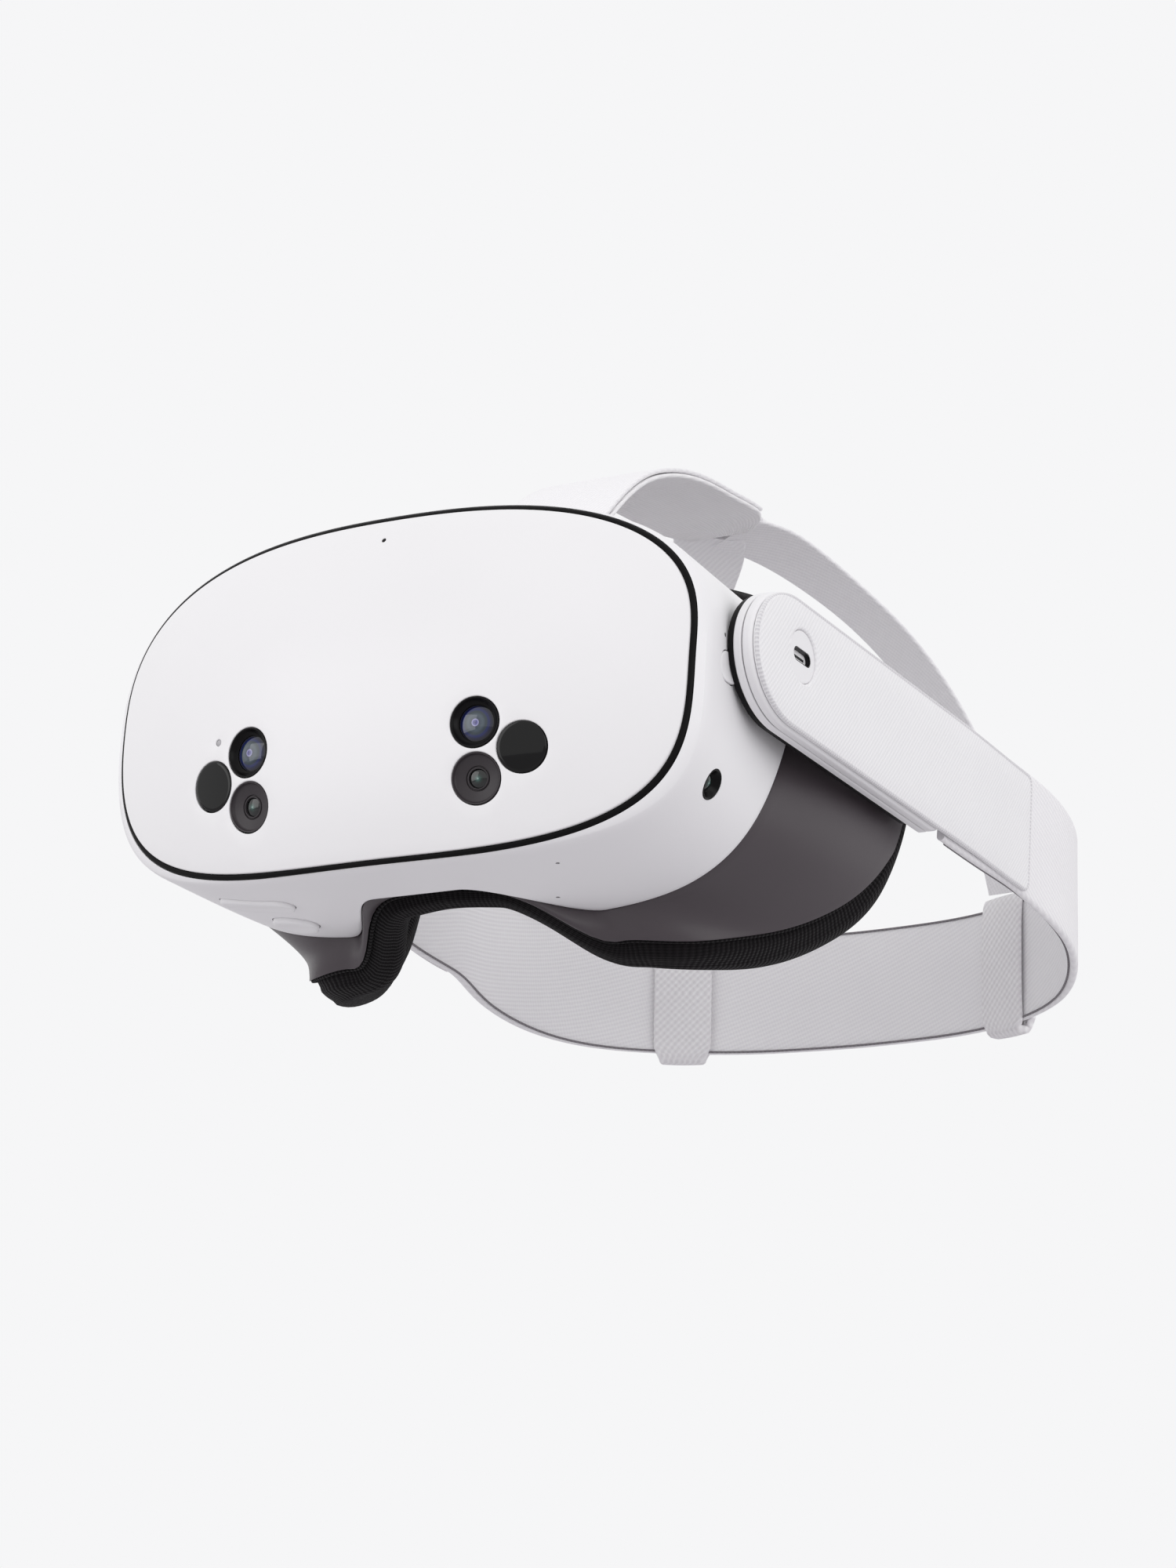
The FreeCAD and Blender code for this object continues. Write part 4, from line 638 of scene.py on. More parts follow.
def rim_depth(angle, sink, inset):
    """Depth at which the housing's surface meets the front surface set back by sink."""
    ring = face_ring(angle, GASKET_WIDTH, sink)
    for _ in range(4):
        ring = housing_ring(angle, front_depth(ring[..., 0], ring[..., 2]) + sink, inset)
    return front_depth(ring[..., 0], ring[..., 2]) + sink


def edge_depth(angle):
    """Depth of the housing's rear edge: low at the cheeks, high at the temples, cut back over the nose."""
    nominal = housing_ring(angle, EDGE_LOW_Y, 0)
    x, z = nominal[..., 0], nominal[..., 2]
    height = (z - FACE_CENTRE_Z + FACE_BOTTOM) / EDGE_RISE
    depth = EDGE_LOW_Y + (EDGE_HIGH_Y - EDGE_LOW_Y) * smooth_step(height)
    depth -= FOREHEAD_CUT * np.maximum(0, 1 - (x / FACE_HALF_WIDTH)**2) * smooth_step(z / FACE_TOP)
    run_out = (np.abs(x) - NOSE_HALF_INNER) / (NOSE_HALF_OUTER - NOSE_HALF_INNER)
    return depth - np.where(z < 0, NOSE_CUT * (1 - smooth_step(run_out)), 0)


print("rear edge from", EDGE_LOW_Y, "mm at the cheeks to", EDGE_HIGH_Y, "mm at the temples")

# %% The gasket
RING_ANGLES = np.sort(FACE_EVEN)
# (outward from the faceplate's outline, behind its front) of the gasket's section
gasket_profile = [(0.05, 2.9), (0.05, 0.75), (0.3, 0.5), (0.7, 0.42), (1.1, 0.5), (1.35, 0.8), (1.35, 2.9)]
gasket_rings = np.stack([face_ring(RING_ANGLES, grow, sink) for grow, sink in gasket_profile])
piece("gasket_ring", [patch(gasket_rings, wrap_u=True, wrap_v=True)], [GASKET], "visor",
      ["faceplate_gasket"])

# %% The housing's skin
ROUND_IN, ROUND_BACK = 0.75, 4.5     # soft front edge of the housing: inward and backward reach, mm
MIDDLE_Y = 40.0                      # where the rings' points are spaced evenly
middle_ring = housing_ring(FACE_ANGLES, MIDDLE_Y, 0)[:, [0, 2]] - (0, FACE_CENTRE_Z)
middle_x, middle_z = evenly(middle_ring, 420).T
HOUSING_ANGLES = np.sort(np.degrees(np.arctan2(middle_z / FACE_TOP, middle_x / FACE_HALF_WIDTH)))
rim = rim_depth(HOUSING_ANGLES, 0.8, 0)
rear = edge_depth(HOUSING_ANGLES)
rings = [face_ring(HOUSING_ANGLES, 1.45, 3.2), face_ring(HOUSING_ANGLES, 1.45, 1.0),
         face_ring(HOUSING_ANGLES, 1.55, 0.8)]
for turn in np.radians(np.linspace(15, 90, 7)):
    rings.append(housing_ring(HOUSING_ANGLES, rim + ROUND_BACK * (1 - np.cos(turn)),
                              ROUND_IN * (1 - np.sin(turn))))
start = rim + ROUND_BACK
for share in np.linspace(0, 1, 26)[1:]:
    rings.append(housing_ring(HOUSING_ANGLES, start + (rear - 0.4 - start) * share, 0))
for inset, back in ((0.12, 0.12), (0.4, 0.0), (2.0, 0.0), (2.3, 0.12)):
    rings.append(housing_ring(HOUSING_ANGLES, rear - back, inset))
outside_count = len(rings)
seat = rim_depth(HOUSING_ANGLES, 3.4, SEAT_WALL)
for share in np.linspace(0.06, 1, 8):
    wall = HOUSING_WALL + (SEAT_WALL - HOUSING_WALL) * share
    rings.append(housing_ring(HOUSING_ANGLES, rear + (seat - rear) * share, wall))
rings = np.stack(rings)
housing_patches = [patch(rings[:outside_count], wrap_v=True),
                   patch(np.concatenate([rings[outside_count - 1:], rings[:1]]), wrap_v=True, finish=1)]
housing_mesh = mesh_of("housing_skin", housing_patches)
print("housing skin:", outside_count, "rings outside,", len(rings) - outside_count, "inside")


# %% [markdown]
# ## Openings in the housing
# Buttons, side cameras, arm pivots and microphones look out through the housing.  Each opening is cut
# with a closed prism along the way its part points.  A boolean is exact here, and simpler than a grid
# that bends round every opening; a *seat* holds the point and directions that the part shares with it.

# %% Seats and cutters
def cut_away(mesh, cutters):
    """The mesh less each cutter, worked out with exact booleans and kept as a plain mesh."""
    shown = bpy.context.scene.collection.objects
    body = bpy.data.objects.new("body_to_cut", mesh)
    shown.link(body)
    blocks = []
    for cutter in cutters:
        block = bpy.data.objects.new("cutter", cutter)
        shown.link(block)
        blocks.append(block)
        step = body.modifiers.new("cut", "BOOLEAN")
        step.operation, step.solver, step.object = "DIFFERENCE", "EXACT", block
    bpy.context.view_layer.update()
    made = bpy.data.meshes.new_from_object(body.evaluated_get(bpy.context.evaluated_depsgraph_get()))
    for spent in [body] + blocks:
        bpy.data.objects.remove(spent)
    return made


def frame_at(point, outward):
    """Three unit directions at a point: two across and one outward."""
    outward = unit(np.asarray(outward, float))
    across = unit(np.cross((0, 0, 1.0) if abs(outward[2]) < 0.9 else (1.0, 0, 0), outward))
    return np.asarray(point, float), across, np.cross(outward, across), outward


def prism(name, ring, low, high, seat):
    """Closed prism over a flat ring, from low to high along the seat's outward direction."""
    point, across, along_up, outward = seat
    flat = point + ring[:, :1] * across + ring[:, 1:] * along_up
    walls = np.stack([flat + low * outward, flat + high * outward])
    return mesh_of(name, [patch(walls, wrap_v=True), lid(walls[0]), lid(walls[1])])


def turned(profile, seat, count=64):
    """Patches of a surface of revolution: profile is (radius, height along the outward direction)."""
    point, across, along_up, outward = seat
    profile = np.asarray(profile, float)
    turn = np.linspace(0, 2 * np.pi, count, endpoint=False)
    ring = np.cos(turn)[:, None] * across + np.sin(turn)[:, None] * along_up
    rings = point + profile[:, :1, None] * ring + profile[:, 1:, None] * outward
    v = np.linspace(0, 1, count + 1)
    sections = np.swapaxes(rings, 0, 1)
    return [patch(sections, wrap_u=True, u=v, v=profile[:, 0])]


def front_seat(x, z):
    """Point and outward direction of the front surface."""
    step = 0.1
    slope_x = (front_depth(x + step, z) - front_depth(x - step, z)) / (2 * step)
    slope_z = (front_depth(x, z + step) - front_depth(x, z - step)) / (2 * step)
    return frame_at((x, front_depth(x, z), z), (slope_x, -1.0, slope_z))


print("the front at its middle faces", front_seat(0.0, FOREMOST_Z)[3].round(3))


# %% Outlines and places of the openings
def pill(length, width, count=48):
    """Stadium ring, length along the first axis."""
    turn = np.linspace(0, 2 * np.pi, count, endpoint=False)
    straight = (length - width) / 2
    return np.stack([np.cos(turn) * width / 2 + np.sign(np.cos(turn)) * straight,
                     np.sin(turn) * width / 2], 1)


def oval(length, width, count=48):
    """Elliptical ring, length along the first axis."""
    turn = np.linspace(0, 2 * np.pi, count, endpoint=False)
    return np.stack([np.cos(turn) * length / 2, np.sin(turn) * width / 2], 1)


def housing_seat(angle, y):
    """Point and outward direction of the housing's surface."""
    def at(ring_angle, depth):
        return housing_ring(np.array([ring_angle]), depth, 0)[0]

    back = at(angle, y + 0.5) - at(angle, y - 0.5)
    around = at(angle + 0.5, y) - at(angle - 0.5, y)
    return frame_at(at(angle, y), np.cross(back, around))


def underside(x, y):
    """Height of the housing's underside: the lower half of the ring at depth y, solved for z."""
    half_width = FACE_HALF_WIDTH + GASKET_WIDTH + RIM_WIDTH + SIDE_TAPER * (SIDE_TAPER_FROM - y)
    drop = FACE_BOTTOM + (GASKET_WIDTH + RIM_WIDTH) / 2 + BOTTOM_FLARE * y
    power = BOTTOM_POWER + (REAR_POWER - BOTTOM_POWER) * smooth_step(y / EDGE_LOW_Y)
    return FACE_CENTRE_Z - drop * (1 - (np.abs(x) / half_width)**power)**(1 / power)


def below_seat(x, y):
    """Point of the underside at x and y, with straight down as its outward direction."""
    across, along_up, outward = np.array([1.0, 0, 0]), np.array([0, 1.0, 0]), np.array([0, 0, -1.0])
    return np.array([x, y, underside(x, y)]), across, along_up, outward


print("underside at the middle of the volume button:", round(float(underside(-49.0, 31.0)), 1), "mm")

# %% Places of the buttons, cameras, pins and microphones
POWER_Y, POWER_Z, POWER_LENGTH, POWER_HEIGHT = 37.0, 1.0, 10.5, 8.0
VOLUME_X, VOLUME_Y, VOLUME_LENGTH, VOLUME_WIDTH = -49.0, 31.0, 22.5, 8.0
ACTION_X, ACTION_Y, ACTION_LENGTH, ACTION_WIDTH = -48.0, 48.0, 13.0, 11.0
GAP = 0.35          # all round a button, mm
SIDE_CAMERA_Y, PIN_X = 36.0, 86.0
side_angles = np.linspace(-30, 30, 601)
side_ring = housing_ring(side_angles, POWER_Y, 0)
power_x = float(np.interp(POWER_Z, side_ring[:, 2], side_ring[:, 0]))
POWER_SEAT = (np.array([power_x, POWER_Y, POWER_Z]), np.array([0, 1.0, 0]), np.array([0, 0, 1.0]),
              np.array([1.0, 0, 0]))
VOLUME_SEAT = below_seat(VOLUME_X, VOLUME_Y)
ACTION_SEAT = below_seat(ACTION_X, ACTION_Y)
SIDE_SEATS = [housing_seat(-32.0, SIDE_CAMERA_Y), housing_seat(-148.0, SIDE_CAMERA_Y)]
PIN_SEATS = [frame_at((side * PIN_X, PIVOT_Y, PIVOT_Z), (side, 0, 0)) for side in (1, -1)]


def microphone_seats():
    """Pinhole microphones: two below on the left, one on each side above the power button."""
    return [below_seat(46.9, 24.6), below_seat(33.9, 47.0),
            housing_seat(8.5, 35.0), housing_seat(171.5, 35.0)]


print("power button", round(power_x, 1), "mm from the middle")

# %% Cutting the openings
CAMERA_HOLE, PIN_HOLE, MICROPHONE_HOLE = 8.4, 10.4, 1.2
CUT_IN, CUT_OUT, DEEP_CUT = -6, 6, -8       # a cutter's ends along the way out, mm
cutters = [prism("cut", pill(POWER_LENGTH + 2 * GAP, POWER_HEIGHT + 2 * GAP), CUT_IN, CUT_OUT, POWER_SEAT),
           prism("cut", pill(VOLUME_LENGTH + 2 * GAP, VOLUME_WIDTH + 2 * GAP), CUT_IN, CUT_OUT, VOLUME_SEAT),
           prism("cut", oval(ACTION_LENGTH + 2 * GAP, ACTION_WIDTH + 2 * GAP), CUT_IN, CUT_OUT, ACTION_SEAT)]
cutters += [prism("cut", oval(CAMERA_HOLE, CAMERA_HOLE), DEEP_CUT, CUT_OUT, seat) for seat in SIDE_SEATS]
cutters += [prism("cut", oval(PIN_HOLE, PIN_HOLE), DEEP_CUT, CUT_OUT, seat) for seat in PIN_SEATS]
cutters += [prism("cut", oval(MICROPHONE_HOLE, MICROPHONE_HOLE, 20), -1.6, 2, seat)
            for seat in microphone_seats()]
piece("housing_skin", cut_away(housing_mesh, cutters), [SHELL, INNER], "visor", ["housing"])
# a black disc just below the mouth of each pinhole: painted shade of the hole
PINHOLE_SHADE_PROFILE = [(0.0, -0.06), (0.56, -0.1), (0.56, -1.4), (0.0, -1.4)]
pinhole_shades = []
for seat in microphone_seats() + [front_seat(0.0, PINHOLE_Z)]:
    pinhole_shades += turned(PINHOLE_SHADE_PROFILE, seat, 16)
piece("pinhole_shade_discs", pinhole_shades, [BLACK], "visor", sharp=50)


# %% [markdown]
# ## Buttons
# Each button is a moulded cap that stands just proud of its opening, with a rounded rim and a slightly
# dished or crowned face.  A scaled sphere or a bevelled block would miss that rim, so a cap is built
# as a stack of rings, from the skirt inside the housing to the middle.

# %% Cap of a button and the painted shade round it
CAP_SKIRT = 3.4                     # how far a cap reaches into the housing, mm
GAP_SHADE_TOP, GAP_SHADE_BOTTOM = -0.9, -2.2  # the ring of painted shade in the gap, from the housing's surface, mm


def place_flat(ring, seat, height):
    """A flat ring over a seat; on the underside it follows the housing's curve."""
    point, across, along_up, outward = seat
    placed_ring = point + ring[:, :1] * across + ring[:, 1:] * along_up + height * outward
    if outward[2] == -1.0:
        placed_ring[:, 2] = underside(placed_ring[:, 0], placed_ring[:, 1]) - height
    return placed_ring


def button_cap(ring_at, seat, proud, crown, rim):
    """Cap patches: skirt, rounded rim and a face that rises by crown (or dips) to its middle."""
    profile = [(0.0, -CAP_SKIRT), (0.0, proud - rim)]
    profile += [(rim * (1 - np.cos(t)), proud - rim * (1 - np.sin(t))) for t in np.radians((22, 45, 67, 90))]
    widest = np.min(np.abs(ring_at(0)).max(0))
    for share in (0.25, 0.45, 0.65, 0.85, 0.98):
        inset = rim + (widest - rim) * share
        profile.append((inset, proud + crown * smooth_step(share * 1.1)))
    rings = [place_flat(ring_at(inset), seat, height) for inset, height in profile]
    return [patch(np.stack(rings), wrap_v=True), lid(rings[0]), lid(rings[-1])]


def button_gap_shade(ring, seat):
    """Dark ring that fills the gap round a button, just below the housing's surface: painted shade in the
    gap.
    """
    rings = [place_flat(ring, seat, height) for height in (GAP_SHADE_TOP, GAP_SHADE_BOTTOM)]
    return [patch(np.stack(rings), wrap_v=True), lid(rings[0]), lid(rings[1])]


print("caps reach", CAP_SKIRT, "mm into the housing")

# %% The three buttons
# name, body, outline, length, width, seat, then in mm: height above the housing, rise of the middle, rim
# radius, and how much wider than the cap its ring of painted shade is
BUTTONS = [
    ("power", "power_button", pill, POWER_LENGTH, POWER_HEIGHT, POWER_SEAT, 0.5, -0.15, 0.4, 0.5),
    ("volume", "volume_rocker", pill, VOLUME_LENGTH, VOLUME_WIDTH, VOLUME_SEAT, 1.2, -0.25, 0.6, 0.4),
    ("action", "action_button", oval, ACTION_LENGTH, ACTION_WIDTH, ACTION_SEAT, 1.4, -0.5, 0.6, 0.5)]
for name, body, outline, long, wide, seat, proud, crown, rim_radius, spread in BUTTONS:
    cap = button_cap(lambda i: outline(long - 2 * i, wide - 2 * i), seat, proud, crown, rim_radius)
    piece(name + "_cap", cap, [BUTTON], body, [body])
# a grey ring in the gap round each button: painted shade
for name, body, outline, long, wide, seat, proud, crown, rim_radius, spread in BUTTONS:
    gap_shade_ring = button_gap_shade(outline(long + spread, wide + spread), seat)
    piece(name + "_gap_shade", gap_shade_ring, [SEAM_SHADE_GREY], body)


# %% [markdown]
# ## Cameras and sensor windows
# All the round parts are turned: one profile of radius against depth, swept round the lens axis.  The
# colour cameras sit under a deep black cone with a large blue-coated lens, the tracking cameras have
# a flat charcoal bezel round a small green-coated one, and the infrared windows are plain black discs.

# %% Profiles of the turned parts
def dome_ring(radius, rim, rise, count=14):
    """Profile of a lens: flat back, straight edge 0.5 mm high, and a dome rising by rise from its rim."""
    r = np.linspace(radius, 0.0, count)
    front = [(a, rim + rise * (1 - (a / radius)**2)) for a in r]
    return [(0.0, rim - 0.5), (radius, rim - 0.5)] + front


# each point is (radius, height over the front), mm; 0.01 stands for a barrel's axis
BODY_RADIUS = 6.65
COLOUR_BEZEL = [(0.01, -9.0), (BODY_RADIUS, -9.0), (BODY_RADIUS, -0.35), (6.5, -0.2), (6.3, -0.2),
                (6.15, -0.35), (5.95, -0.8), (5.4, -1.4), (4.95, -1.75), (4.8, -1.8), (4.75, -2.2),
                (0.01, -2.6)]
TRACK_BEZEL = [(0.01, -9.0), (BODY_RADIUS, -9.0), (BODY_RADIUS, -0.4), (6.5, -0.25), (6.3, -0.3),
               (6.1, -0.9), (5.85, -1.15), (5.7, -1.2), (3.3, -1.75), (3.15, -2.1), (3.0, -2.1),
               (2.9, -1.75), (2.75, -1.65), (2.55, -1.7), (2.45, -2.2), (0.01, -2.5)]
SIDE_BEZEL = [(0.01, -7.0), (4.1, -7.0), (4.1, -0.2), (3.95, -0.05), (3.7, -0.1), (3.45, -0.5),
              (2.6, -1.6), (2.35, -1.9), (0.01, -2.2)]
WINDOW_PROFILE = [(0.0, -2.0), (6.65, -2.0), (6.65, -0.5), (6.5, -0.3)] + [
    (r, -0.02 - 0.15 * (r / 6.0)**2) for r in np.linspace(6.3, 0.0, 12)]
LED_PROFILE = [(0.0, -0.1), (0.6, -0.12), (0.85, -0.3), (0.85, -2.0), (0.0, -2.0)]
WINDOW_TILT = (0, 0, -0.04)     # the infrared windows look slightly down
print("camera barrels are", 2 * BODY_RADIUS, "mm across")


# %% Cameras, windows and status light
def camera_and_lens(kind, side_name, seat, bezel, barrel_finish, dome, glass_finish):
    """A camera's barrel and its lens, turned round the same seat."""
    piece(f"{kind}_camera_barrel_{side_name}", turned(bezel, seat), [barrel_finish], "visor",
          [f"{kind}_camera_{side_name}"], sharp=50)
    piece(f"{kind}_camera_glass_{side_name}", turned(dome, seat), [glass_finish], "visor",
          [f"{kind}_camera_lens_{side_name}"], sharp=50)


for side_name, side, side_seat in (("left", 1, SIDE_SEATS[0]), ("right", -1, SIDE_SEATS[1])):
    camera_and_lens("colour", side_name, front_seat(side * SENSOR_X, COLOUR_Z), COLOUR_BEZEL, BLACK,
                    dome_ring(4.7, -1.9, 1.1), COLOUR_GLASS)
    camera_and_lens("tracking", side_name, front_seat(side * SENSOR_X, TRACKING_Z), TRACK_BEZEL, BARREL,
                    dome_ring(2.5, -2.15, 0.6), TRACK_GLASS)
    point, across, along_up, outward = front_seat(side * INFRARED_X, INFRARED_Z)
    piece("infrared_disc_" + side_name, turned(WINDOW_PROFILE, frame_at(point, outward + WINDOW_TILT)),
          [WINDOW], "visor", ["infrared_window_" + side_name], sharp=50)
    camera_and_lens("side", side_name, side_seat, SIDE_BEZEL, BLACK, dome_ring(2.4, -1.85, 0.7), TRACK_GLASS)
# light guide of the status light, unlit: a pale grey dot
LED_GREY = moulded("grey light guide", "#b9b8ba", "#a9a8ab", 0.3)
piece("status_light", turned(LED_PROFILE, front_seat(LED_X, LED_Z), 24), [LED_GREY], "visor",
      ["status_led"], sharp=50)

# %% [markdown]
# ## Textiles
# Three fabrics show: the knitted cover bonded to each arm, the elastic webbing of the straps, and the
# black knit over the face foam.  All are ribbed, so each reads the piece's own flat map in millimetres
# and runs its ribs at a slant, as the real ones do; loops finer than the ribs only break up the light.

# %% Ribbed textiles
WEAR_MM = 25.0      # size of the slow clouds of wear


def ribs(tree, flat, pitch_mm, degrees, wobble=0.0):
    """Parallel ribs pitch_mm apart, turned by degrees on the flat map: a sine from 0 to 1."""
    turned_flat = add(tree, "Mapping", {"Vector": flat, "Rotation": (0, 0, math.radians(degrees))})
    return add(tree, "TexWave", {"Vector": turned_flat.outputs["Vector"], "Scale": math.pi / (10 * pitch_mm),
                                 "Distortion": wobble, "Detail": 1.0, "Detail Scale": 2.0}).outputs["Fac"]


def ribbed_textile(name, high, low, pitch_mm, degrees, depth_mm=0.25, loops_mm=0.6, sheen=0.3, rough=0.85,
                   shine=0.4):
    """Ribbed textile: ribs, a crossing row of loops, slow clouds of wear, and sheen from loose fibres; the
    colour is lighter on the ribs' ridges and darker in their troughs, a painted highlight and painted shade.
    """
    made, tree, shader = new_finish(name, rough)
    shader.inputs["Sheen Weight"].default_value = sheen
    shader.inputs["Specular IOR Level"].default_value = shine
    shader.inputs["Sheen Roughness"].default_value = 0.5
    flat = add(tree, "UVMap", uv_map="flat_mm").outputs["UV"]
    rib = ribs(tree, flat, pitch_mm, degrees, 0.6)
    loop = ribs(tree, flat, loops_mm, degrees + 90, 0.4)
    relief = add(tree, "Mix", {"Factor": 0.3, "A": rib, "B": loop}, data_type="FLOAT")
    where = add(tree, "TexCoord").outputs["Object"]
    clouds = add(tree, "TexNoise", {"Vector": where, "Scale": 1000 / WEAR_MM, "Detail": 3.0})
    # colour: darker in the ribs' troughs as painted shade and lighter on their ridges as painted highlight,
    # mixed with real clouds of wear
    wear_and_painted_rib_shade = add(tree, "Mix", {"Factor": 0.35, "A": relief.outputs["Result"], "B": clouds.outputs["Fac"]},
               data_type="FLOAT")
    colour = add(tree, "Mix", {"Factor": wear_and_painted_rib_shade.outputs["Result"], "A": linear(low), "B": linear(high)},
                 data_type="RGBA")
    tree.links.new(colour.outputs["Result"], shader.inputs["Base Color"])
    bump_on(tree, shader, relief.outputs["Result"], depth_mm)
    return made


print("clouds of wear are", WEAR_MM, "mm across")

# %% The textiles of this headset
# Numbers are the rib's pitch in mm, its slant in degrees, its height and the loops' pitch in mm, and
# the sheen.  Real ribs are 0.7 to 1 mm and would be lost at this distance, so all are drawn coarser.

# knit bonded over each arm: flat and nearly smooth, with a faint slanted grain, its ribs a little darker in
# their troughs as painted shade
COVER_KNIT = ribbed_textile("white bonded arm knit", "#f8f7f8", "#e9e8ea", 1.15, 38, 0.12, 1.0, 0.15)
# outer face of the elastic straps: the same white, with ribs nearly across the strap
STRAP_OUT = ribbed_textile("white elastic strap face", "#f8f7f8", "#e9e7ea", 1.3, 70, 0.12, 0.9, 0.15)
# lining of the rear band: pale grey, with painted shade in the troughs between its ribs
STRAP_IN = ribbed_textile("pale grey elastic strap lining", "#efedef", "#d3d0d3", 1.5, 72, 0.22, 0.8, 0.2)
# lining of the top strap: finer and lighter than the rear band's
TOP_LINING = ribbed_textile("pale elastic top strap lining", "#fbfafb", "#eae8ea", 1.2, 80, 0.15, 0.8, 0.2)
# webbing of the two loops: a twill whose steps show as a coarse diagonal, darker in its troughs as painted
# shade
LOOP_WEAVE = ribbed_textile("white loop webbing", "#fcfbfc", "#e0dde0", 1.6, 45, 0.3, 1.6, 0.15)
# cord round the arm's cover: short cross threads with shade between them
PIPING = ribbed_textile("white corded piping", "#f6f5f6", "#cfcdd1", 1.1, 0, 0.25, 2.2, 0.1)
# knit over the foam: black that swallows light, with ribs round the cushion whose ridges carry a painted
# highlight
FOAM_KNIT = ribbed_textile("black ribbed foam cover", "#1c191b", "#050405", 1.4, 0, 0.35, 0.9, 0.06,
                           rough=0.95, shine=0.12)
# tape along the band's edges: a thin grey line that ends the white face
EDGE_TAPE = ribbed_textile("grey elastic edge tape", "#8b878b", "#6f6b6f", 1.0, 45, 0.1, 1.0, 0.1)
print("textiles:", [m.name for m in (COVER_KNIT, STRAP_OUT, STRAP_IN, TOP_LINING, LOOP_WEAVE, FOAM_KNIT)])

# %% [markdown]
# ## Facial interface
# The interface is a soft-touch shell that slides off the visor, with a foam cushion along its rear
# edge.  The shell is lofted between the housing's edge and the cushion; the cushion is a tube along
# a closed line round the eyes, thinner over the nose, whose knit has ribs running round the tube.

# %% Line of the face cushion
CHEEK_Z, FOREHEAD_Z = -59.5, 42.0
NOSE_RADIUS, FULL_RADIUS = 5.2, 8.0
SEAM_TURN, SEAM_TURN_CHEEK, SEAM_TURN_TOP = 12.0, 68.0, -60.0   # round the tube from its front, degrees
# middle of the cushion from the nose round the cheek and temple to the forehead, on one side
CUSHION_KEYS = np.array([(0, 49, -45), (13, 50.5, -45.5), (25, 58, -50), (34, 69.5, -56), (45, 75, -57.5),
                         (54, 81, -57), (61, 96, -54.5), (70, 119, -45.5), (76, 138, -26.5), (77, 147, -2),
                         (74, 139, 19), (62, 118, 33), (40, 103, 40), (20, 96.5, 42), (0, 95, 42)], float)


def cushion_angle(points):
    """Angle that names a place round the cushion, at points of its line."""
    return np.degrees(np.arctan2(points[:, 2] / (FACE_BOTTOM + 5), points[:, 0] / FACE_HALF_WIDTH))


key_angles = cushion_angle(CUSHION_KEYS)
all_keys = np.vstack([CUSHION_KEYS, CUSHION_KEYS[-2:0:-1] * (-1, 1, 1)])
cushion_line = spline(np.concatenate([key_angles, 180 - key_angles[-2:0:-1]]), all_keys, period=360.0)


def cushion_frame(angle):
    """Middle of the cushion at angles, and unit directions outward from the face and forward."""
    centre = cushion_line(angle)
    tangent = unit(cushion_line(angle + 0.1) - cushion_line(angle - 0.1))
    forward = unit(np.array([0, -1.0, 0]) + tangent * tangent[:, 1:2])
    return centre, unit(np.cross(tangent, forward)), forward


def cushion_radius(centre):
    """8 mm all round, down to 5.2 mm over the nose."""
    share = np.where(centre[:, 2] > 0, 1.0, smooth_step((np.abs(centre[:, 0]) - 26.0) / 28.0))
    return NOSE_RADIUS + (FULL_RADIUS - NOSE_RADIUS) * share


def cushion_seat(angle, extra, gap=1.8):
    """Rear edge of the interface shell beside the cushion; extra moves it away from the cushion."""
    centre, outward, forward = cushion_frame(angle)
    low = np.clip((centre[:, 2] - CHEEK_Z) / 35.0, 0, 1)**0.65
    low = low * smooth_step((np.abs(centre[:, 0]) - 34.0) / 25.0)
    top = smooth_step(centre[:, 2] / FOREHEAD_Z)
    turn = np.radians(SEAM_TURN + SEAM_TURN_CHEEK * low + SEAM_TURN_TOP * top)[:, None]
    reach = cushion_radius(centre)[:, None] + gap
    return centre + outward * (reach * np.sin(turn) + extra) + forward * reach * np.cos(turn)


print("cushion line", round(float(arc_length(cushion_line(np.linspace(-90, 270, 361)))[-1])), "mm round")

# %% The interface shell
LOFT_ANGLES = np.linspace(-90, 270, 360, endpoint=False)
SHELL_SWELL = 1.6       # how far the shell bulges between its two edges, mm
collar = HOUSING_WALL + 1.0
edge = edge_depth(LOFT_ANGLES)
lip = housing_ring(LOFT_ANGLES, edge + 0.4, 0.5)
rest = cushion_seat(LOFT_ANGLES, 0.0)
shell_rings = [housing_ring(LOFT_ANGLES, edge - 5.0, collar), housing_ring(LOFT_ANGLES, edge + 0.4, collar),
               housing_ring(LOFT_ANGLES, edge + 0.4, 1.1), housing_ring(LOFT_ANGLES, edge + 0.55, 0.7)]
for share in np.linspace(0.02, 0.97, 22):
    swell = SHELL_SWELL * np.sin(np.pi * share) * smooth_step(np.abs(lip[:, :1]) / 40.0)
    ring = lip + (rest - lip) * share
    out = unit(ring * (1, 0, 1))
    shell_rings.append(ring + out * swell)
shell_rings += [rest + (cushion_seat(LOFT_ANGLES, -0.3) - rest) * 0.5, cushion_seat(LOFT_ANGLES, -1.0),
                cushion_seat(LOFT_ANGLES, -2.0)]
inner_lip = housing_ring(LOFT_ANGLES, edge + 2.4, collar + 2.0)
inner_rest = cushion_seat(LOFT_ANGLES, -2.0)
for share in np.linspace(0.08, 1, 14):
    ring = inner_rest + (inner_lip - inner_rest) * share
    out = unit(ring * (1, 0, 1))
    shell_rings.append(ring + out * SHELL_SWELL * np.sin(np.pi * share)
                       * smooth_step(np.abs(ring[:, :1]) / 40.0))
shell_rings.append(housing_ring(LOFT_ANGLES, edge - 5.0, collar + 2.0))
piece("interface_shell", [patch(np.stack(shell_rings), wrap_u=True, wrap_v=True)], [SOFT_GREY],
      "facial_interface", ["interface_frame"], sharp=50)


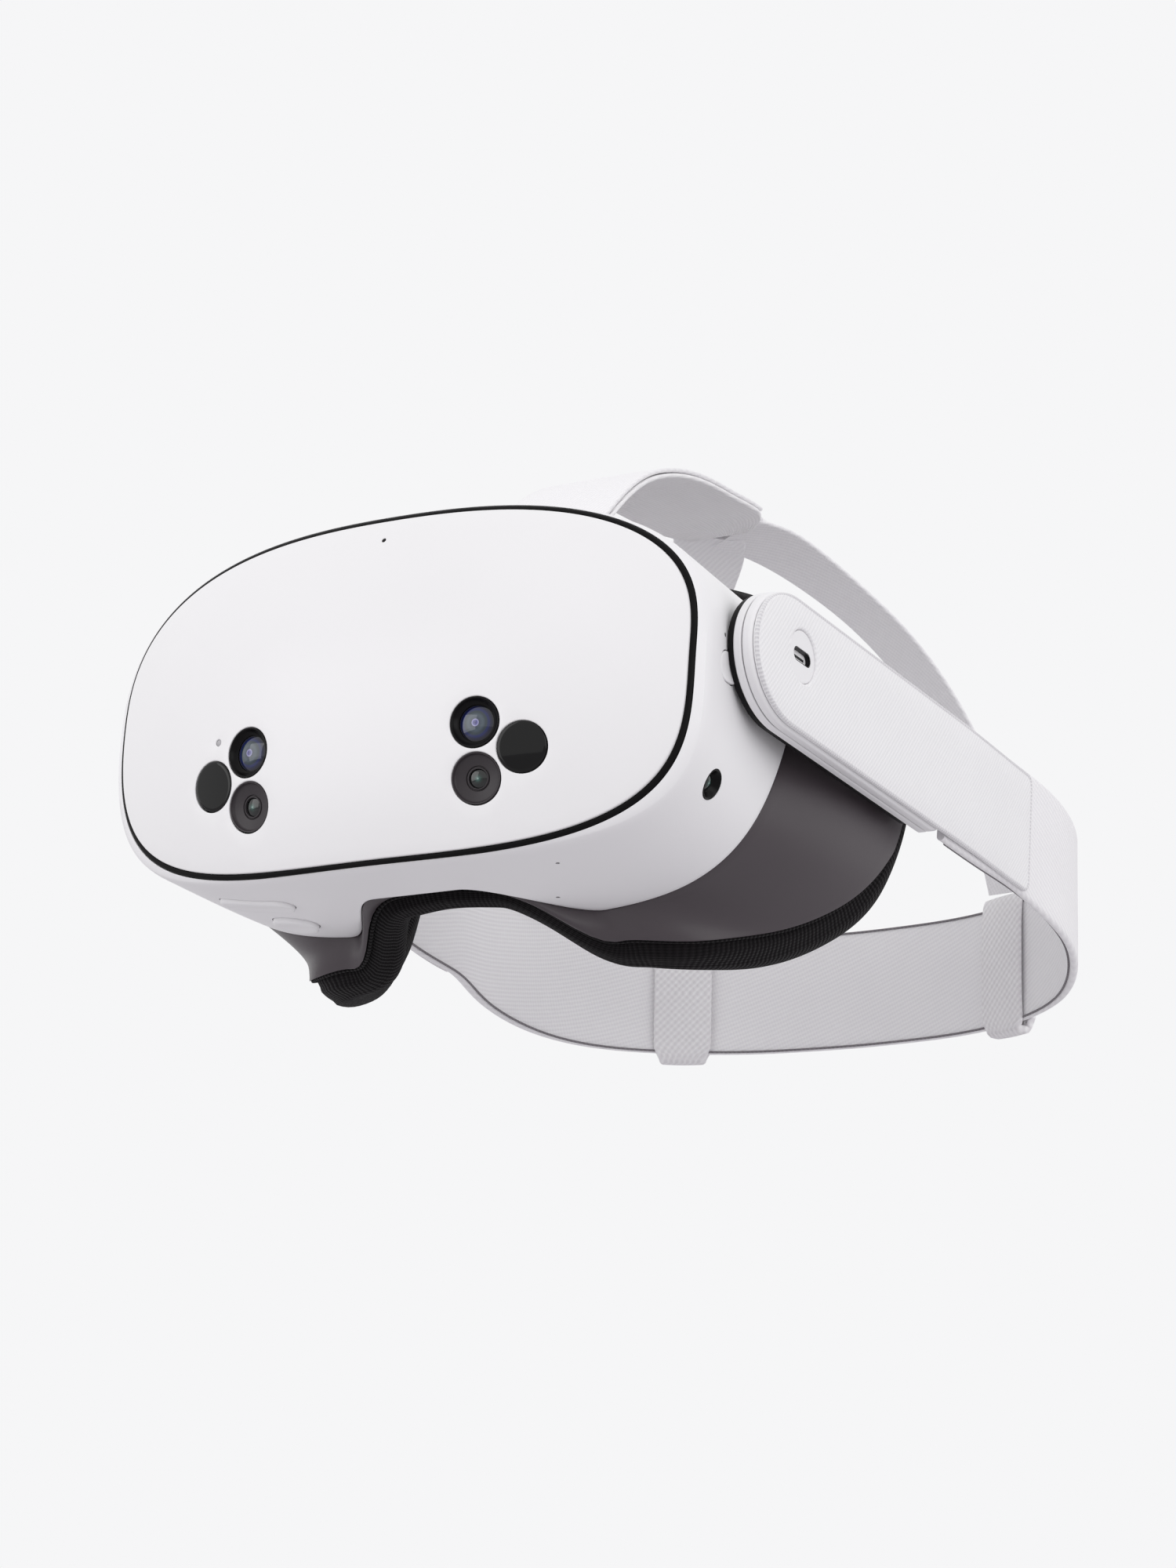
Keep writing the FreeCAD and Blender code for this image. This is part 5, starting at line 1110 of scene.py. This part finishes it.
# %% [markdown]
# ## Cushion
# The foam is a pressed ring in a knitted sock, with a corded seam where the sock meets the shell.  A
# cloth simulation could puff it up, but the ring keeps its section all the way round, so a formula
# does it: a round tube, fuller outward, flatter at the shell, with two slow waves where it is held.

# %% Cords and tubes
def tube(line, radius, sides=10, closed=True):
    """Round cord along a line of points: its flat map has length along and arc around."""
    line = np.asarray(line, float)
    ahead = np.roll(line, -1, 0) - np.roll(line, 1, 0)
    if not closed:
        ahead[0], ahead[-1] = line[1] - line[0], line[-1] - line[-2]
    ahead = unit(ahead)
    first = unit(np.cross(ahead, np.where(np.abs(ahead[:, 2:]) < 0.9, (0, 0, 1.0), (1.0, 0, 0))))
    for k in range(1, len(line)):
        carried = first[k - 1] - ahead[k] * np.dot(first[k - 1], ahead[k])
        first[k] = carried / np.linalg.norm(carried)
    second = np.cross(ahead, first)
    if closed:      # spread the twist left at the joint evenly along the line
        last = first[-1] - ahead[0] * np.dot(first[-1], ahead[0])
        twist = math.atan2(np.dot(last, second[0]), np.dot(last, first[0]))
        undo = -twist * np.linspace(0, 1, len(line))[:, None]
        first, second = (first * np.cos(undo) + second * np.sin(undo),
                         second * np.cos(undo) - first * np.sin(undo))
    turn = np.linspace(0, 2 * np.pi, sides, endpoint=False)
    radius = np.broadcast_to(np.asarray(radius, float), (len(line),))[:, None, None]
    round_line = first[:, None] * np.cos(turn)[:, None] + second[:, None] * np.sin(turn)[:, None]
    rings = line[:, None] + radius * round_line
    u = arc_length(np.vstack([line, line[:1]]) if closed else line)
    v = np.linspace(0, 2 * np.pi, sides + 1) * float(np.mean(radius))
    made = [patch(rings, wrap_u=closed, wrap_v=True, u=u, v=v)]
    return made if closed else made + [lid(rings[0]), lid(rings[-1])]


print("a cord of 3 points has", len(tube([(0, 0, 0), (1, 0, 0), (2, 0, 0)], 0.5, closed=False)), "patches")

# %% Cushion and its piping
cushion_even = evenly(cushion_line(np.linspace(-90, 270, 1440, endpoint=False)), 520)
centre, outward, forward = cushion_frame(cushion_angle(cushion_even))
turn = np.linspace(0, 2 * np.pi, 36, endpoint=False)
# pressed foam: fuller towards the face and outward, a little flatter where it is bonded to the shell
section = (1.0 - 0.07 * np.cos(turn)**2 * (np.sin(turn) > 0)
           + 0.05 * np.cos(turn) * (np.cos(turn) > 0) - 0.06 * (np.sin(turn) > 0.7))
radius = cushion_radius(centre)[:, None] * section
length = arc_length(np.vstack([cushion_even, cushion_even[:1]]))
round_face = length[:-1, None] * 2 * np.pi
slow_waves = 0.12 * np.sin(round_face / 37.0 + 2 * turn) + 0.1 * np.sin(round_face / 61.0)
radius = radius + slow_waves * smooth_step(np.abs(centre[:, :1]) / 30.0)
rings = (centre[:, None] + radius[..., None] * (outward[:, None] * np.cos(turn)[:, None]
                                                + forward[:, None] * np.sin(turn)[:, None]))
cushion = piece("face_cushion", [patch(rings, wrap_u=True, wrap_v=True, u=length,
                                       v=np.linspace(0, 2 * np.pi * FULL_RADIUS, 37))],
                [FOAM_KNIT], "facial_interface", ["face_foam"])
seam_line = cushion_seat(LOFT_ANGLES, 0.1, 0.75)
piece("cushion_piping", tube(evenly(seam_line, 400), 0.55), [FOAM_KNIT], "facial_interface")

# %% [markdown]
# ## Arms
# Each arm is an inner shell that holds the speaker, an outer shell, and a knitted cover bonded over
# it with a corded edge.  All are the same blade shape with a half-elliptical front end, so one outline
# function serves them; the plate helper rounds each edge and crowns the cover.

# %% Outline and place of a blade
ARM_SLOPE = math.radians(4.9)
ARM_HALF, ARM_NOSE, ARM_LENGTH, COVER_LENGTH = 18.0, 22.0, 92.0, 148.0
INNER_X, SEAM_X, OUTER_X, COVER_X = 89.6, 92.6, 96.0, 97.3
LEAN_FROM, LEAN_OVER, LEAN_IN = 100.0, 45.0, 1.0    # where, over what length and how far the cover leans in


def arm_point(x, u, v):
    """A point at x, u behind the pivot along the sloping arm and v above its middle line."""
    u, v = np.asarray(u, float), np.asarray(v, float)
    return np.stack([x + 0 * u, PIVOT_Y + u * math.cos(ARM_SLOPE) + v * math.sin(ARM_SLOPE),
                     PIVOT_Z - u * math.sin(ARM_SLOPE) + v * math.cos(ARM_SLOPE)], -1)


def blade(half, nose, end, corner, count=200, start=0.0):
    """Ring of a blade: half an ellipse in front of start, straight edges, rounded corners at end."""
    turn = np.radians(np.linspace(90, 270, 60))
    front = np.stack([start + nose * np.cos(turn), half * np.sin(turn)], 1)
    turn = np.radians(np.linspace(-90, 0, 12))
    low = np.stack([end - corner + corner * np.cos(turn), corner - half + corner * np.sin(turn)], 1)
    high = low[::-1] * (1, -1)
    return evenly(np.vstack([front, low, high]), count)


def on_arm(outer_x):
    """Lifts flat (u, v, drop) to the arm, drop inward from outer_x."""
    return lambda u, v, drop: arm_point(0 * np.asarray(u) + outer_x - np.asarray(drop), u, v)


def bevelled(thickness, radius, back=0.4, count=6):
    """(inset, drop) of an edge rounded at the front by radius and lightly at the back."""
    turn = np.radians(np.linspace(0, 90, count))
    front = np.stack([radius * (1 - np.cos(turn)), radius * (1 - np.sin(turn))], 1)
    return np.vstack([[back, thickness], [0.0, thickness - back], front])


print("the cover starts", ARM_NOSE, "mm in front of the pivot and ends", COVER_LENGTH, "mm behind it")

# %% Swell and sag of the cloth
COVER_SWELL, SLACK = 0.7, 6.5       # mm


def cover_crown(u, v):
    """The cover swells over its foam in the middle, and not at all at the edge."""
    across = np.clip(1 - (v / 17.0)**2, 0, 1)
    along_arm = np.clip((u + 22.0) / 12.0, 0, 1) * np.clip((COVER_LENGTH - u) / 20.0, 0, 1)
    return -COVER_SWELL * smooth_step(np.sqrt(across) * np.sqrt(along_arm))


def cover_thin(u, v):
    """Behind the rigid shells the cover leans in to lie on the strap."""
    return cover_crown(u, v) + LEAN_IN * smooth_step((u - LEAN_FROM) / LEAN_OVER)


def sagged(points):
    """The slack side: on the wearer's right the cloth hangs lower behind the rigid arm."""
    y = points[..., 1]
    drop = SLACK * smooth_step((y - 138.0) / 60.0) * smooth_step((286.0 - y) / 75.0)
    return points - np.where(points[..., :1] < 0, drop[..., None], 0) * (0, 0, 1)


def mirrored_slack(patches):
    """The same patches on the wearer's right, with the sag."""
    return [(sagged(p[0]), p[1], p[2], p[3]) for p in mirrored(patches)]


print("slack on the wearer's right:", SLACK, "mm")

# %% The layers of an arm
PORT_U, PORT_V, TRIM_RADIUS = 3.0, 2.5, 7.0
SLOT_LENGTH, SLOT_HEIGHT = 8.9, 3.2


def port_slot(grow):
    """The slot of the socket as a ring, grown by grow."""
    return pill(SLOT_LENGTH + 2 * grow, SLOT_HEIGHT + 2 * grow, 40) + (PORT_U, PORT_V)


# a black plate in the gap between arm and housing: painted shade of that gap
arm_gap_shade = plate(lambda i: blade(ARM_HALF - 0.4 - i, ARM_NOSE - 0.4 - i, ARM_LENGTH - 8 - i, 5 - i), [],
               bevelled(1.9, 0.3), 8.0, on_arm(90.7))
rigid_outline = lambda i: blade(ARM_HALF - i, ARM_NOSE - i, ARM_LENGTH - i, 6 - i)
inner_shell = plate(rigid_outline, [], bevelled(2.3, 0.5), 6.0, on_arm(SEAM_X + 0.3))
outer_shell = plate(rigid_outline, [], bevelled(2.9, 1.1), 6.0, on_arm(OUTER_X))
# a grey sheet between the two shells: painted shade along their joint
shadow_line = plate(lambda i: blade(ARM_HALF - 0.7 - i, ARM_NOSE - 0.7 - i, ARM_LENGTH - 1 - i, 5 - i), [],
                    bevelled(1.0, 0.2, 0.2), 8.0, on_arm(SEAM_X + 0.75))
chamber = plate(lambda i: blade(14 - i, 11 - i, 86 - i, 8 - i, start=45.0), [], bevelled(3.0, 0.3, 1.0), 6.0,
                on_arm(INNER_X + 0.05))
cover_outline = lambda i: blade(ARM_HALF - 0.6 - i, ARM_NOSE - 0.6 - i, COVER_LENGTH - i, 3 - i, 300)
covers = {}
for port in (True, False):
    trim_hole = [circle(PORT_U, PORT_V, TRIM_RADIUS + 0.1)] if port else []
    made = plate(cover_outline, trim_hole, bevelled(1.2, 0.8, 0.2), 4.0, on_arm(COVER_X), cover_thin)
    # round the edge the knit's flat map is the side view, so its ribs run on from the face
    covers[port] = [(p[0], p[1], p[0][p[1]][..., 1:] if p[1].shape[1] == 4 else p[2], p[3]) for p in made]
print("cover:", len(covers[True]), "patches with the socket's hole,", len(covers[False]), "without")


# %% Both arms and the socket's trim
def cord_round(ring_uv, x_at, radius):
    """A cord laid along a ring on the arm."""
    return tube(arm_point(x_at(ring_uv[:, 0], ring_uv[:, 1]), ring_uv[:, 0], ring_uv[:, 1]), radius, 8)


edge_ring = cover_outline(0.45)
cord_x = lambda u, v: COVER_X - 0.35 - LEAN_IN * smooth_step((u - LEAN_FROM) / LEAN_OVER)
edge_cord = cord_round(edge_ring, cord_x, 0.62)
for name, body, turn_over in (("left", "left_arm", lambda p: p), ("right", "right_arm", mirrored_slack)):
    piece("arm_inner_" + name, turn_over(inner_shell), [SHELL], body,
          ["arm_inner_shell_" + name])
    piece("speaker_chamber_" + name, turn_over(chamber), [SHELL], body)
    piece("arm_outer_" + name, turn_over(outer_shell), [SHELL], body,
          ["arm_outer_shell_" + name])
    piece("arm_seam_shade_" + name, turn_over(shadow_line), [SEAM_SHADE_GREY], body)
    piece("arm_gap_shade_" + name, turn_over(arm_gap_shade), [GAP_SHADE_BLACK], body)
    piece("arm_cover_" + name, turn_over(covers[name == "left"]), [COVER_KNIT], body,
          ["arm_fabric_" + name])
    piece("arm_piping_" + name, turn_over(edge_cord), [PIPING], body)

trim_edge = np.array([(0.3, 1.5), (0.0, 1.2), (0.0, 0.25), (0.1, 0.08), (0.35, 0.0), (0.8, 0.0)])
trim_slot = lambda i: port_slot(0.3 + max(0.0, i - 0.3))
trim = plate(lambda i: circle(PORT_U, PORT_V, TRIM_RADIUS)(-i), [trim_slot], trim_edge, 2.0,
             on_arm(COVER_X + 0.15))
piece("port_trim", trim, [BUTTON], "left_arm", ["usb_c_trim"])


# %% [markdown]
# ## Straps
# The rear band is a wide elastic with a smooth outer face and a grey ribbed lining.  The top strap and
# the Y-shaped crown strap are the same weave.  Flat webbing is built directly: a thin rounded section
# carried along a smooth line, square to the way out of the head.

# %% Flat webbing along a line
def webbing(line, across, width, thickness, crown=0.0, faces=(0, 1), closed=False, across_count=15):
    """Webbing along a line of points.  across is the unit way over its width at each point, and width
    may change along it.  The section is a rounded slab whose outer face rises by crown in the middle."""
    ahead = np.gradient(line, axis=0)
    if closed:
        ahead = np.roll(line, -1, 0) - np.roll(line, 1, 0)
    ahead = unit(ahead)
    across = unit(across - ahead * np.sum(across * ahead, 1, keepdims=True))
    normal = unit(np.cross(across, ahead))
    half = np.broadcast_to(np.asarray(width, float) / 2, (len(line),))[:, None]
    thick = np.broadcast_to(np.asarray(thickness, float) / 2, (len(line),))[:, None]
    lean = np.radians(np.linspace(90, 0, 5))
    side = np.linspace(-1, 1, across_count)[None]
    flat_w = half - thick
    outer_w = np.hstack([-flat_w - thick * np.cos(lean)[None, ::-1][:, :-1], flat_w * side,
                         flat_w + thick * np.cos(lean)[None, 1:]])
    swell = crown * (1 - (outer_w / half)**2)
    outer_t = np.hstack([thick * np.sin(lean)[None, ::-1][:, :-1], thick + 0 * side,
                         thick * np.sin(lean)[None, 1:]]) + swell
    inner_t = np.hstack([-thick * np.sin(lean)[None, ::-1][:, :-1], -thick + 0 * side,
                         -thick * np.sin(lean)[None, 1:]]) + 0.6 * swell
    u = arc_length(np.vstack([line, line[:1]]) if closed else line)
    v = np.mean(outer_w, 0)
    made = []
    for height, face in ((outer_t, faces[0]), (inner_t, faces[1])):
        grid = line[:, None] + across[:, None] * outer_w[..., None] + normal[:, None] * height[..., None]
        made.append(patch(grid, wrap_u=closed, u=u, v=v, finish=face))
    if not closed:
        for end in (0, -1):
            loop = [line[end] + across[end] * w + normal[end] * h
                    for w, h in zip(np.concatenate([outer_w[end], outer_w[end][-2:0:-1]]),
                                    np.concatenate([outer_t[end], inner_t[end][-2:0:-1]]))]
            made.append(lid(np.array(loop), finish=faces[0]))
    return made


sample = webbing(np.array([(0.0, 0, 0), (10, 0, 0), (20, 0, 0)]), np.tile((0, 1.0, 0), (3, 1)), 10.0, 1.0)
print("a short strap has", len(sample), "patches: two faces and two ends")

# %% The rear band
BAND_X, BAND_REAR_Y, BAND_REAR_Z, BAND_HEIGHT, BAND_THICKNESS = 94.5, 288.5, -27.0, 37.0, 2.4


def arm_line(u):
    """Height of the arm's middle line at u behind the pivot."""
    return PIVOT_Z - u * math.sin(ARM_SLOPE)


band_start, band_bend = PIVOT_Y + ARM_LENGTH + 1.6, PIVOT_Y + COVER_LENGTH
band_middle = (band_start + band_bend) / 2
band_keys = np.array([(BAND_X, band_start, arm_line(band_start - PIVOT_Y)),
                      (BAND_X, band_middle, arm_line(band_middle - PIVOT_Y)),
                      (BAND_X, band_bend, arm_line(band_bend - PIVOT_Y)),
                      (BAND_X + 1.5, band_bend + 16, arm_line(band_bend - PIVOT_Y) - 4.5),
                      (BAND_X + 0.5, BAND_REAR_Y - 54, BAND_REAR_Z + 12),
                      (BAND_X - 5, BAND_REAR_Y - 40, BAND_REAR_Z + 7),
                      (BAND_X - 14, BAND_REAR_Y - 28, BAND_REAR_Z + 3.5),
                      (BAND_X - 27, BAND_REAR_Y - 17.5, BAND_REAR_Z + 1.5),
                      (BAND_X - 43, BAND_REAR_Y - 9, BAND_REAR_Z + 0.5),
                      (BAND_X - 62, BAND_REAR_Y - 3.5, BAND_REAR_Z),
                      (BAND_X - 78, BAND_REAR_Y - 1, BAND_REAR_Z), (0, BAND_REAR_Y, BAND_REAR_Z)], float)
band_line = sagged(along(np.vstack([band_keys, band_keys[-2::-1] * (-1, 1, 1)]), 260))
upward = np.tile((0.0, 0.0, 1.0), (len(band_line), 1))
band_patches = webbing(band_line, -upward, BAND_HEIGHT, BAND_THICKNESS, 0.3)
piece("rear_band_webbing", band_patches, [STRAP_OUT, STRAP_IN], "left_arm", ["rear_band"])
band_out = unit(np.cross(-upward, np.gradient(band_line, axis=0)))
TAPE_HEIGHT, TAPE_IN, TAPE_RADIUS = 17.9, 1.3, 0.35     # from the band's middle line, mm
for edge_name, height in (("lower", -TAPE_HEIGHT), ("upper", TAPE_HEIGHT)):
    hem = band_line + (0, 0, height) - band_out * TAPE_IN
    piece("band_edge_" + edge_name, tube(hem[2:-2], TAPE_RADIUS, 6, closed=False), [EDGE_TAPE],
          "left_arm")

# %% [markdown]
# ## Loops, crown strap and legs
# Each leg of the Y ends in a loop sewn round the rear band.  A loop is webbing carried round a flat
# closed path, and fuller at the fold below, where the cloth bunches.  The crown strap lies on the
# head and splits into two legs, so all three are webbing turned square to the way out of the head.

# %% Loops on the band
LEG_X, LEG_WIDTH, LOOP_COUNT = 56.5, 18.0, 120      # legs from the middle, their width, points round a loop
LOOP_REACH, LOOP_FOLD, LOOP_HALF = 2.9, 0.9, 20.6   # out from the band, more at the fold, and upward, mm
foot_index = int(np.argmin(np.abs(band_line[:130, 0] - LEG_X)))


def loop_patches(side):
    """A flat ring of webbing round the band: a stadium path, fuller at the fold below."""
    centre = band_line[foot_index] * (side, 1, 1)
    ahead = unit((band_line[foot_index + 1] - band_line[foot_index - 1]) * (side, 1, 0))
    out = unit(np.array([ahead[1], -ahead[0], 0.0]))
    turn = np.linspace(0, 2 * np.pi, 96, endpoint=False)
    c, s = np.cos(turn), np.sin(turn)
    depth = LOOP_REACH + LOOP_FOLD * smooth_step((-s - 0.9) / 0.1)
    path = centre + out * (depth * np.sign(c) * np.abs(c)**0.45)[:, None] \
        + np.array([0, 0, 1.0]) * (LOOP_HALF * np.sign(s) * np.abs(s)**0.55)[:, None]
    path = evenly(path, LOOP_COUNT)
    fold = smooth_step((centre[2] - 15.0 - path[:, 2]) / 6.0)
    return webbing(path, np.tile(ahead, (LOOP_COUNT, 1)), LEG_WIDTH - 3.4 * fold**2, 1.4 + 1.0 * fold, 0.25,
                   closed=True, faces=(0, 0))


for name, side in (("left", 1), ("right", -1)):
    piece("leg_loop_webbing_" + name, loop_patches(side), [LOOP_WEAVE], "left_arm",
          ["leg_loop_" + name], sharp=60)

# %% Crown strap and its two legs
HEAD_CENTRE_Y, CROWN_Y, CROWN_Z, TOP_START_Y = 160.0, 200.0, 94.5, 101.0
STRAP_THICKNESS, LAYER_GAP = 1.3, 0.2
CROWN_WIDTH, CROWN_NARROWING, LEG_SPREAD = 33.0, 3.0, 4.0   # legs are wider by the last where they part
top_keys = np.array([(0, TOP_START_Y + 15, CROWN_Z - 10),
                     (0, TOP_START_Y + 32, CROWN_Z - 2.8), (0, TOP_START_Y + 51, CROWN_Z + 0.6),
                     (0, TOP_START_Y + 70, CROWN_Z + 1.2), (0, CROWN_Y - 12, CROWN_Z + 0.8),
                     (0, CROWN_Y, CROWN_Z)], float)


def lifted(points, amount):
    """Points moved away from the head's middle by an amount."""
    out = unit((points - (0, HEAD_CENTRE_Y, 0)) * (0, 1, 1))
    return points + out * amount


def over_head(line):
    """Way across a strap that lies on the head: square to the way out of the head."""
    return unit(np.cross(np.gradient(line, axis=0), line - (0, HEAD_CENTRE_Y, 0)))


lift = STRAP_THICKNESS + LAYER_GAP
crown_keys = np.vstack([lifted(top_keys[3:], lift), [(0, CROWN_Y + 11, CROWN_Z + lift - 1.9)]])
crown_line = along(crown_keys, 60)
crown_width = CROWN_WIDTH - CROWN_NARROWING * smooth_step((crown_line[:, 1] - 172.0) / 30.0)
crown_patches = webbing(crown_line, over_head(crown_line), crown_width, STRAP_THICKNESS, 0.2)
foot = band_line[foot_index]
loop_top = foot[2] + BAND_HEIGHT / 2 + 1.5 + 1.4 + 1
leg_keys = np.array([(4, CROWN_Y - 5, CROWN_Z + lift - 1.4), (11, CROWN_Y + 7, CROWN_Z - 3.2 + lift),
                     (20, CROWN_Y + 18, CROWN_Z - 8.5), (29, CROWN_Y + 27, CROWN_Z - 17.5),
                     (38, CROWN_Y + 37, CROWN_Z - 29), (45, CROWN_Y + 46.5, CROWN_Z - 42),
                     (50.5, CROWN_Y + 56, CROWN_Z - 57),
                     (foot[0] - 2, foot[1] - 9, (CROWN_Z - 57 + loop_top) / 2 + 1),
                     (foot[0], foot[1], loop_top)], float)
leg_line = along(leg_keys, 150)
leg_width = LEG_WIDTH + LEG_SPREAD * smooth_step((230.0 - leg_line[:, 1]) / 25.0)
leg_patches = webbing(leg_line, over_head(leg_line), leg_width, STRAP_THICKNESS, 0.2)
for name, patches in (("crown_webbing", crown_patches), ("leg_webbing_left", leg_patches),
                      ("leg_webbing_right", mirrored(leg_patches))):
    piece(name, patches, [STRAP_OUT, TOP_LINING], "left_arm", ["y_strap"])

# %% [markdown]
# ## Top strap
# One strap runs from its anchor on the visor, over the head, to the crown, where it doubles back on itself.
# The crown moves with the arms and the anchor stays; the strap is built once, on a smooth line between them,
# and rides on neither.

# %% Both layers of the top strap
TOP_WIDTH, FACE_WIDTH, FACE_LIFT = 38.0, 37.6, 1.6      # lining, outer layer, and the step between them, mm
rest_z = float(housing_ring(np.array([90.0]), 66.0, 0)[0, 2])
strap_keys = np.vstack([[(0, 66.0, rest_z + 2.6), (0, 76.0, rest_z + 5.6), (0, 88.0, rest_z + 14.4)],
                        lifted(top_keys[:5], 0.0), [(0, 194.0, CROWN_Z - 0.6)]])
inner_line = along(strap_keys, 150)
end = arc_length(inner_line)
tip = np.clip((end[-1] - end) / 12.0, 0, 1)
inner_width = TOP_WIDTH * np.sqrt(np.clip(1 - (1 - tip)**2 * 0.75, 0.05, 1))
outer_line = lifted(inner_line[:141], FACE_LIFT)
sideways = np.tile((1.0, 0, 0), (len(inner_line), 1))
top_patches = webbing(inner_line, sideways, inner_width, STRAP_THICKNESS, 0.15)
outer_patches = webbing(outer_line, sideways[:len(outer_line)], FACE_WIDTH, STRAP_THICKNESS, 0.15)
top_strap = piece("top_strap_lining", top_patches, [TOP_LINING, TOP_LINING], None,
                  ["top_strap_tab", "top_strap_inner"])
top_face = piece("top_strap_face", outer_patches, [STRAP_OUT, STRAP_OUT], None,
                 ["top_strap_outer"])
for strap in (top_strap, top_face):
    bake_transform(strap)

# %% [markdown]
# ## Carried-over CAD parts
# The optics, electronics and fastenings keep their CAD shapes.  Each gets the finish of its real
# material.  Their meshes are never touched; only the material slot of each object is filled.

# %% Metals and clear plastic
STREAK_RATIO = 40       # length of a streak over its width
STREAK_SPREAD = 0.08    # how far the streaks vary the roughness


def metal(name, colour, roughness, brush_mm=0.4):
    """Machined or plated metal with fine brushed streaks along the visor's width."""
    made, tree, shader = new_finish(name, roughness, metallic=1.0)
    shader.inputs["Base Color"].default_value = linear(colour)
    where = add(tree, "TexCoord").outputs["Object"]
    fine = 1000 / brush_mm
    stretched = add(tree, "Mapping", {"Vector": where,
                                      "Scale": (1000 / (STREAK_RATIO * brush_mm), fine, fine)})
    streak = add(tree, "TexNoise", {"Vector": stretched.outputs["Vector"], "Scale": 1.0, "Detail": 2.0})
    rough = add(tree, "MapRange", {"Value": streak.outputs["Fac"], "To Min": roughness - STREAK_SPREAD,
                                   "To Max": roughness + STREAK_SPREAD})
    tree.links.new(rough.outputs["Result"], shader.inputs["Roughness"])
    bump_on(tree, shader, streak.outputs["Fac"], 0.01)
    return made


def clear(name, colour, roughness=0.02):
    """Clear moulded acrylic with a faint haze."""
    made = polished(name, colour, roughness)
    made.node_tree.nodes["Principled BSDF"].inputs["Transmission Weight"].default_value = 1.0
    return made


print("brushed streaks are", STREAK_RATIO, "times as long as they are wide")

# %% Finishes for the carried-over parts
# plated screws and pins: a bright warm grey with a soft highlight
STEEL = metal("nickel plated steel", "#b9b7b4", 0.3)
# heat sink: dull silver, because blasting breaks up its reflection
ALUMINIUM = metal("bead blasted aluminium", "#a9abae", 0.45)
# socket shell: a dark metal that glints only at its edge
DARK_STEEL = metal("black nickel plated steel", "#2b2a2c", 0.35)
# circuit board: dark green lacquer, slightly glossy
BOARD = moulded("green solder mask", "#1d4a33", "#163a28", 0.35, 0.8, 0.01)
# heat shrunk film round the battery: satin black with a wrinkled grain
WRAP = moulded("black battery wrap", "#1c1c1f", "#242428", 0.45, 1.2, 0.02)
# optical acrylic: clear, so that the dark barrel shows behind it
OPTIC = clear("clear lens acrylic", "#f4f6f8")
# switched-off display: black glass under a hard clear coat
PANEL = polished("display cover glass", "#08090c", 0.04, coat=1.0)
# frames and shrouds inside: dull black that gives no glare beside the lenses
DARK = moulded("black inner polycarbonate", "#1d1c1f", "#242326", 0.5)
FINISH_OF = {"mainboard": BOARD, "fan_rotor": BLACK, "heat_sink": ALUMINIUM, "battery": WRAP,
             "display_panel": PANEL, "proximity_window": WINDOW, "usb_c_socket": DARK_STEEL,
             "strap_anchor": SHELL}


def cad_finish(name):
    """Finish for a CAD node by its name; frames, shrouds and speakers are the dark inner plastic."""
    for start, finish in (("lens_barrel", BARREL), ("lens_left", OPTIC), ("lens_right", OPTIC),
                          ("chassis_screw", STEEL), ("pivot_pin", STEEL)):
        if name.startswith(start):
            return finish
    return FINISH_OF.get(name, DARK)


for name in frame["nodes"]:
    node = bpy.data.objects.get(name)
    if node is None or node.hide_render:
        continue
    finish = cad_finish(name)
    for slot in node.material_slots:
        slot.link = "OBJECT"
        slot.material = finish
    if not node.material_slots:
        node.data.materials.append(finish)
    print("finish", finish.name, "on", name)
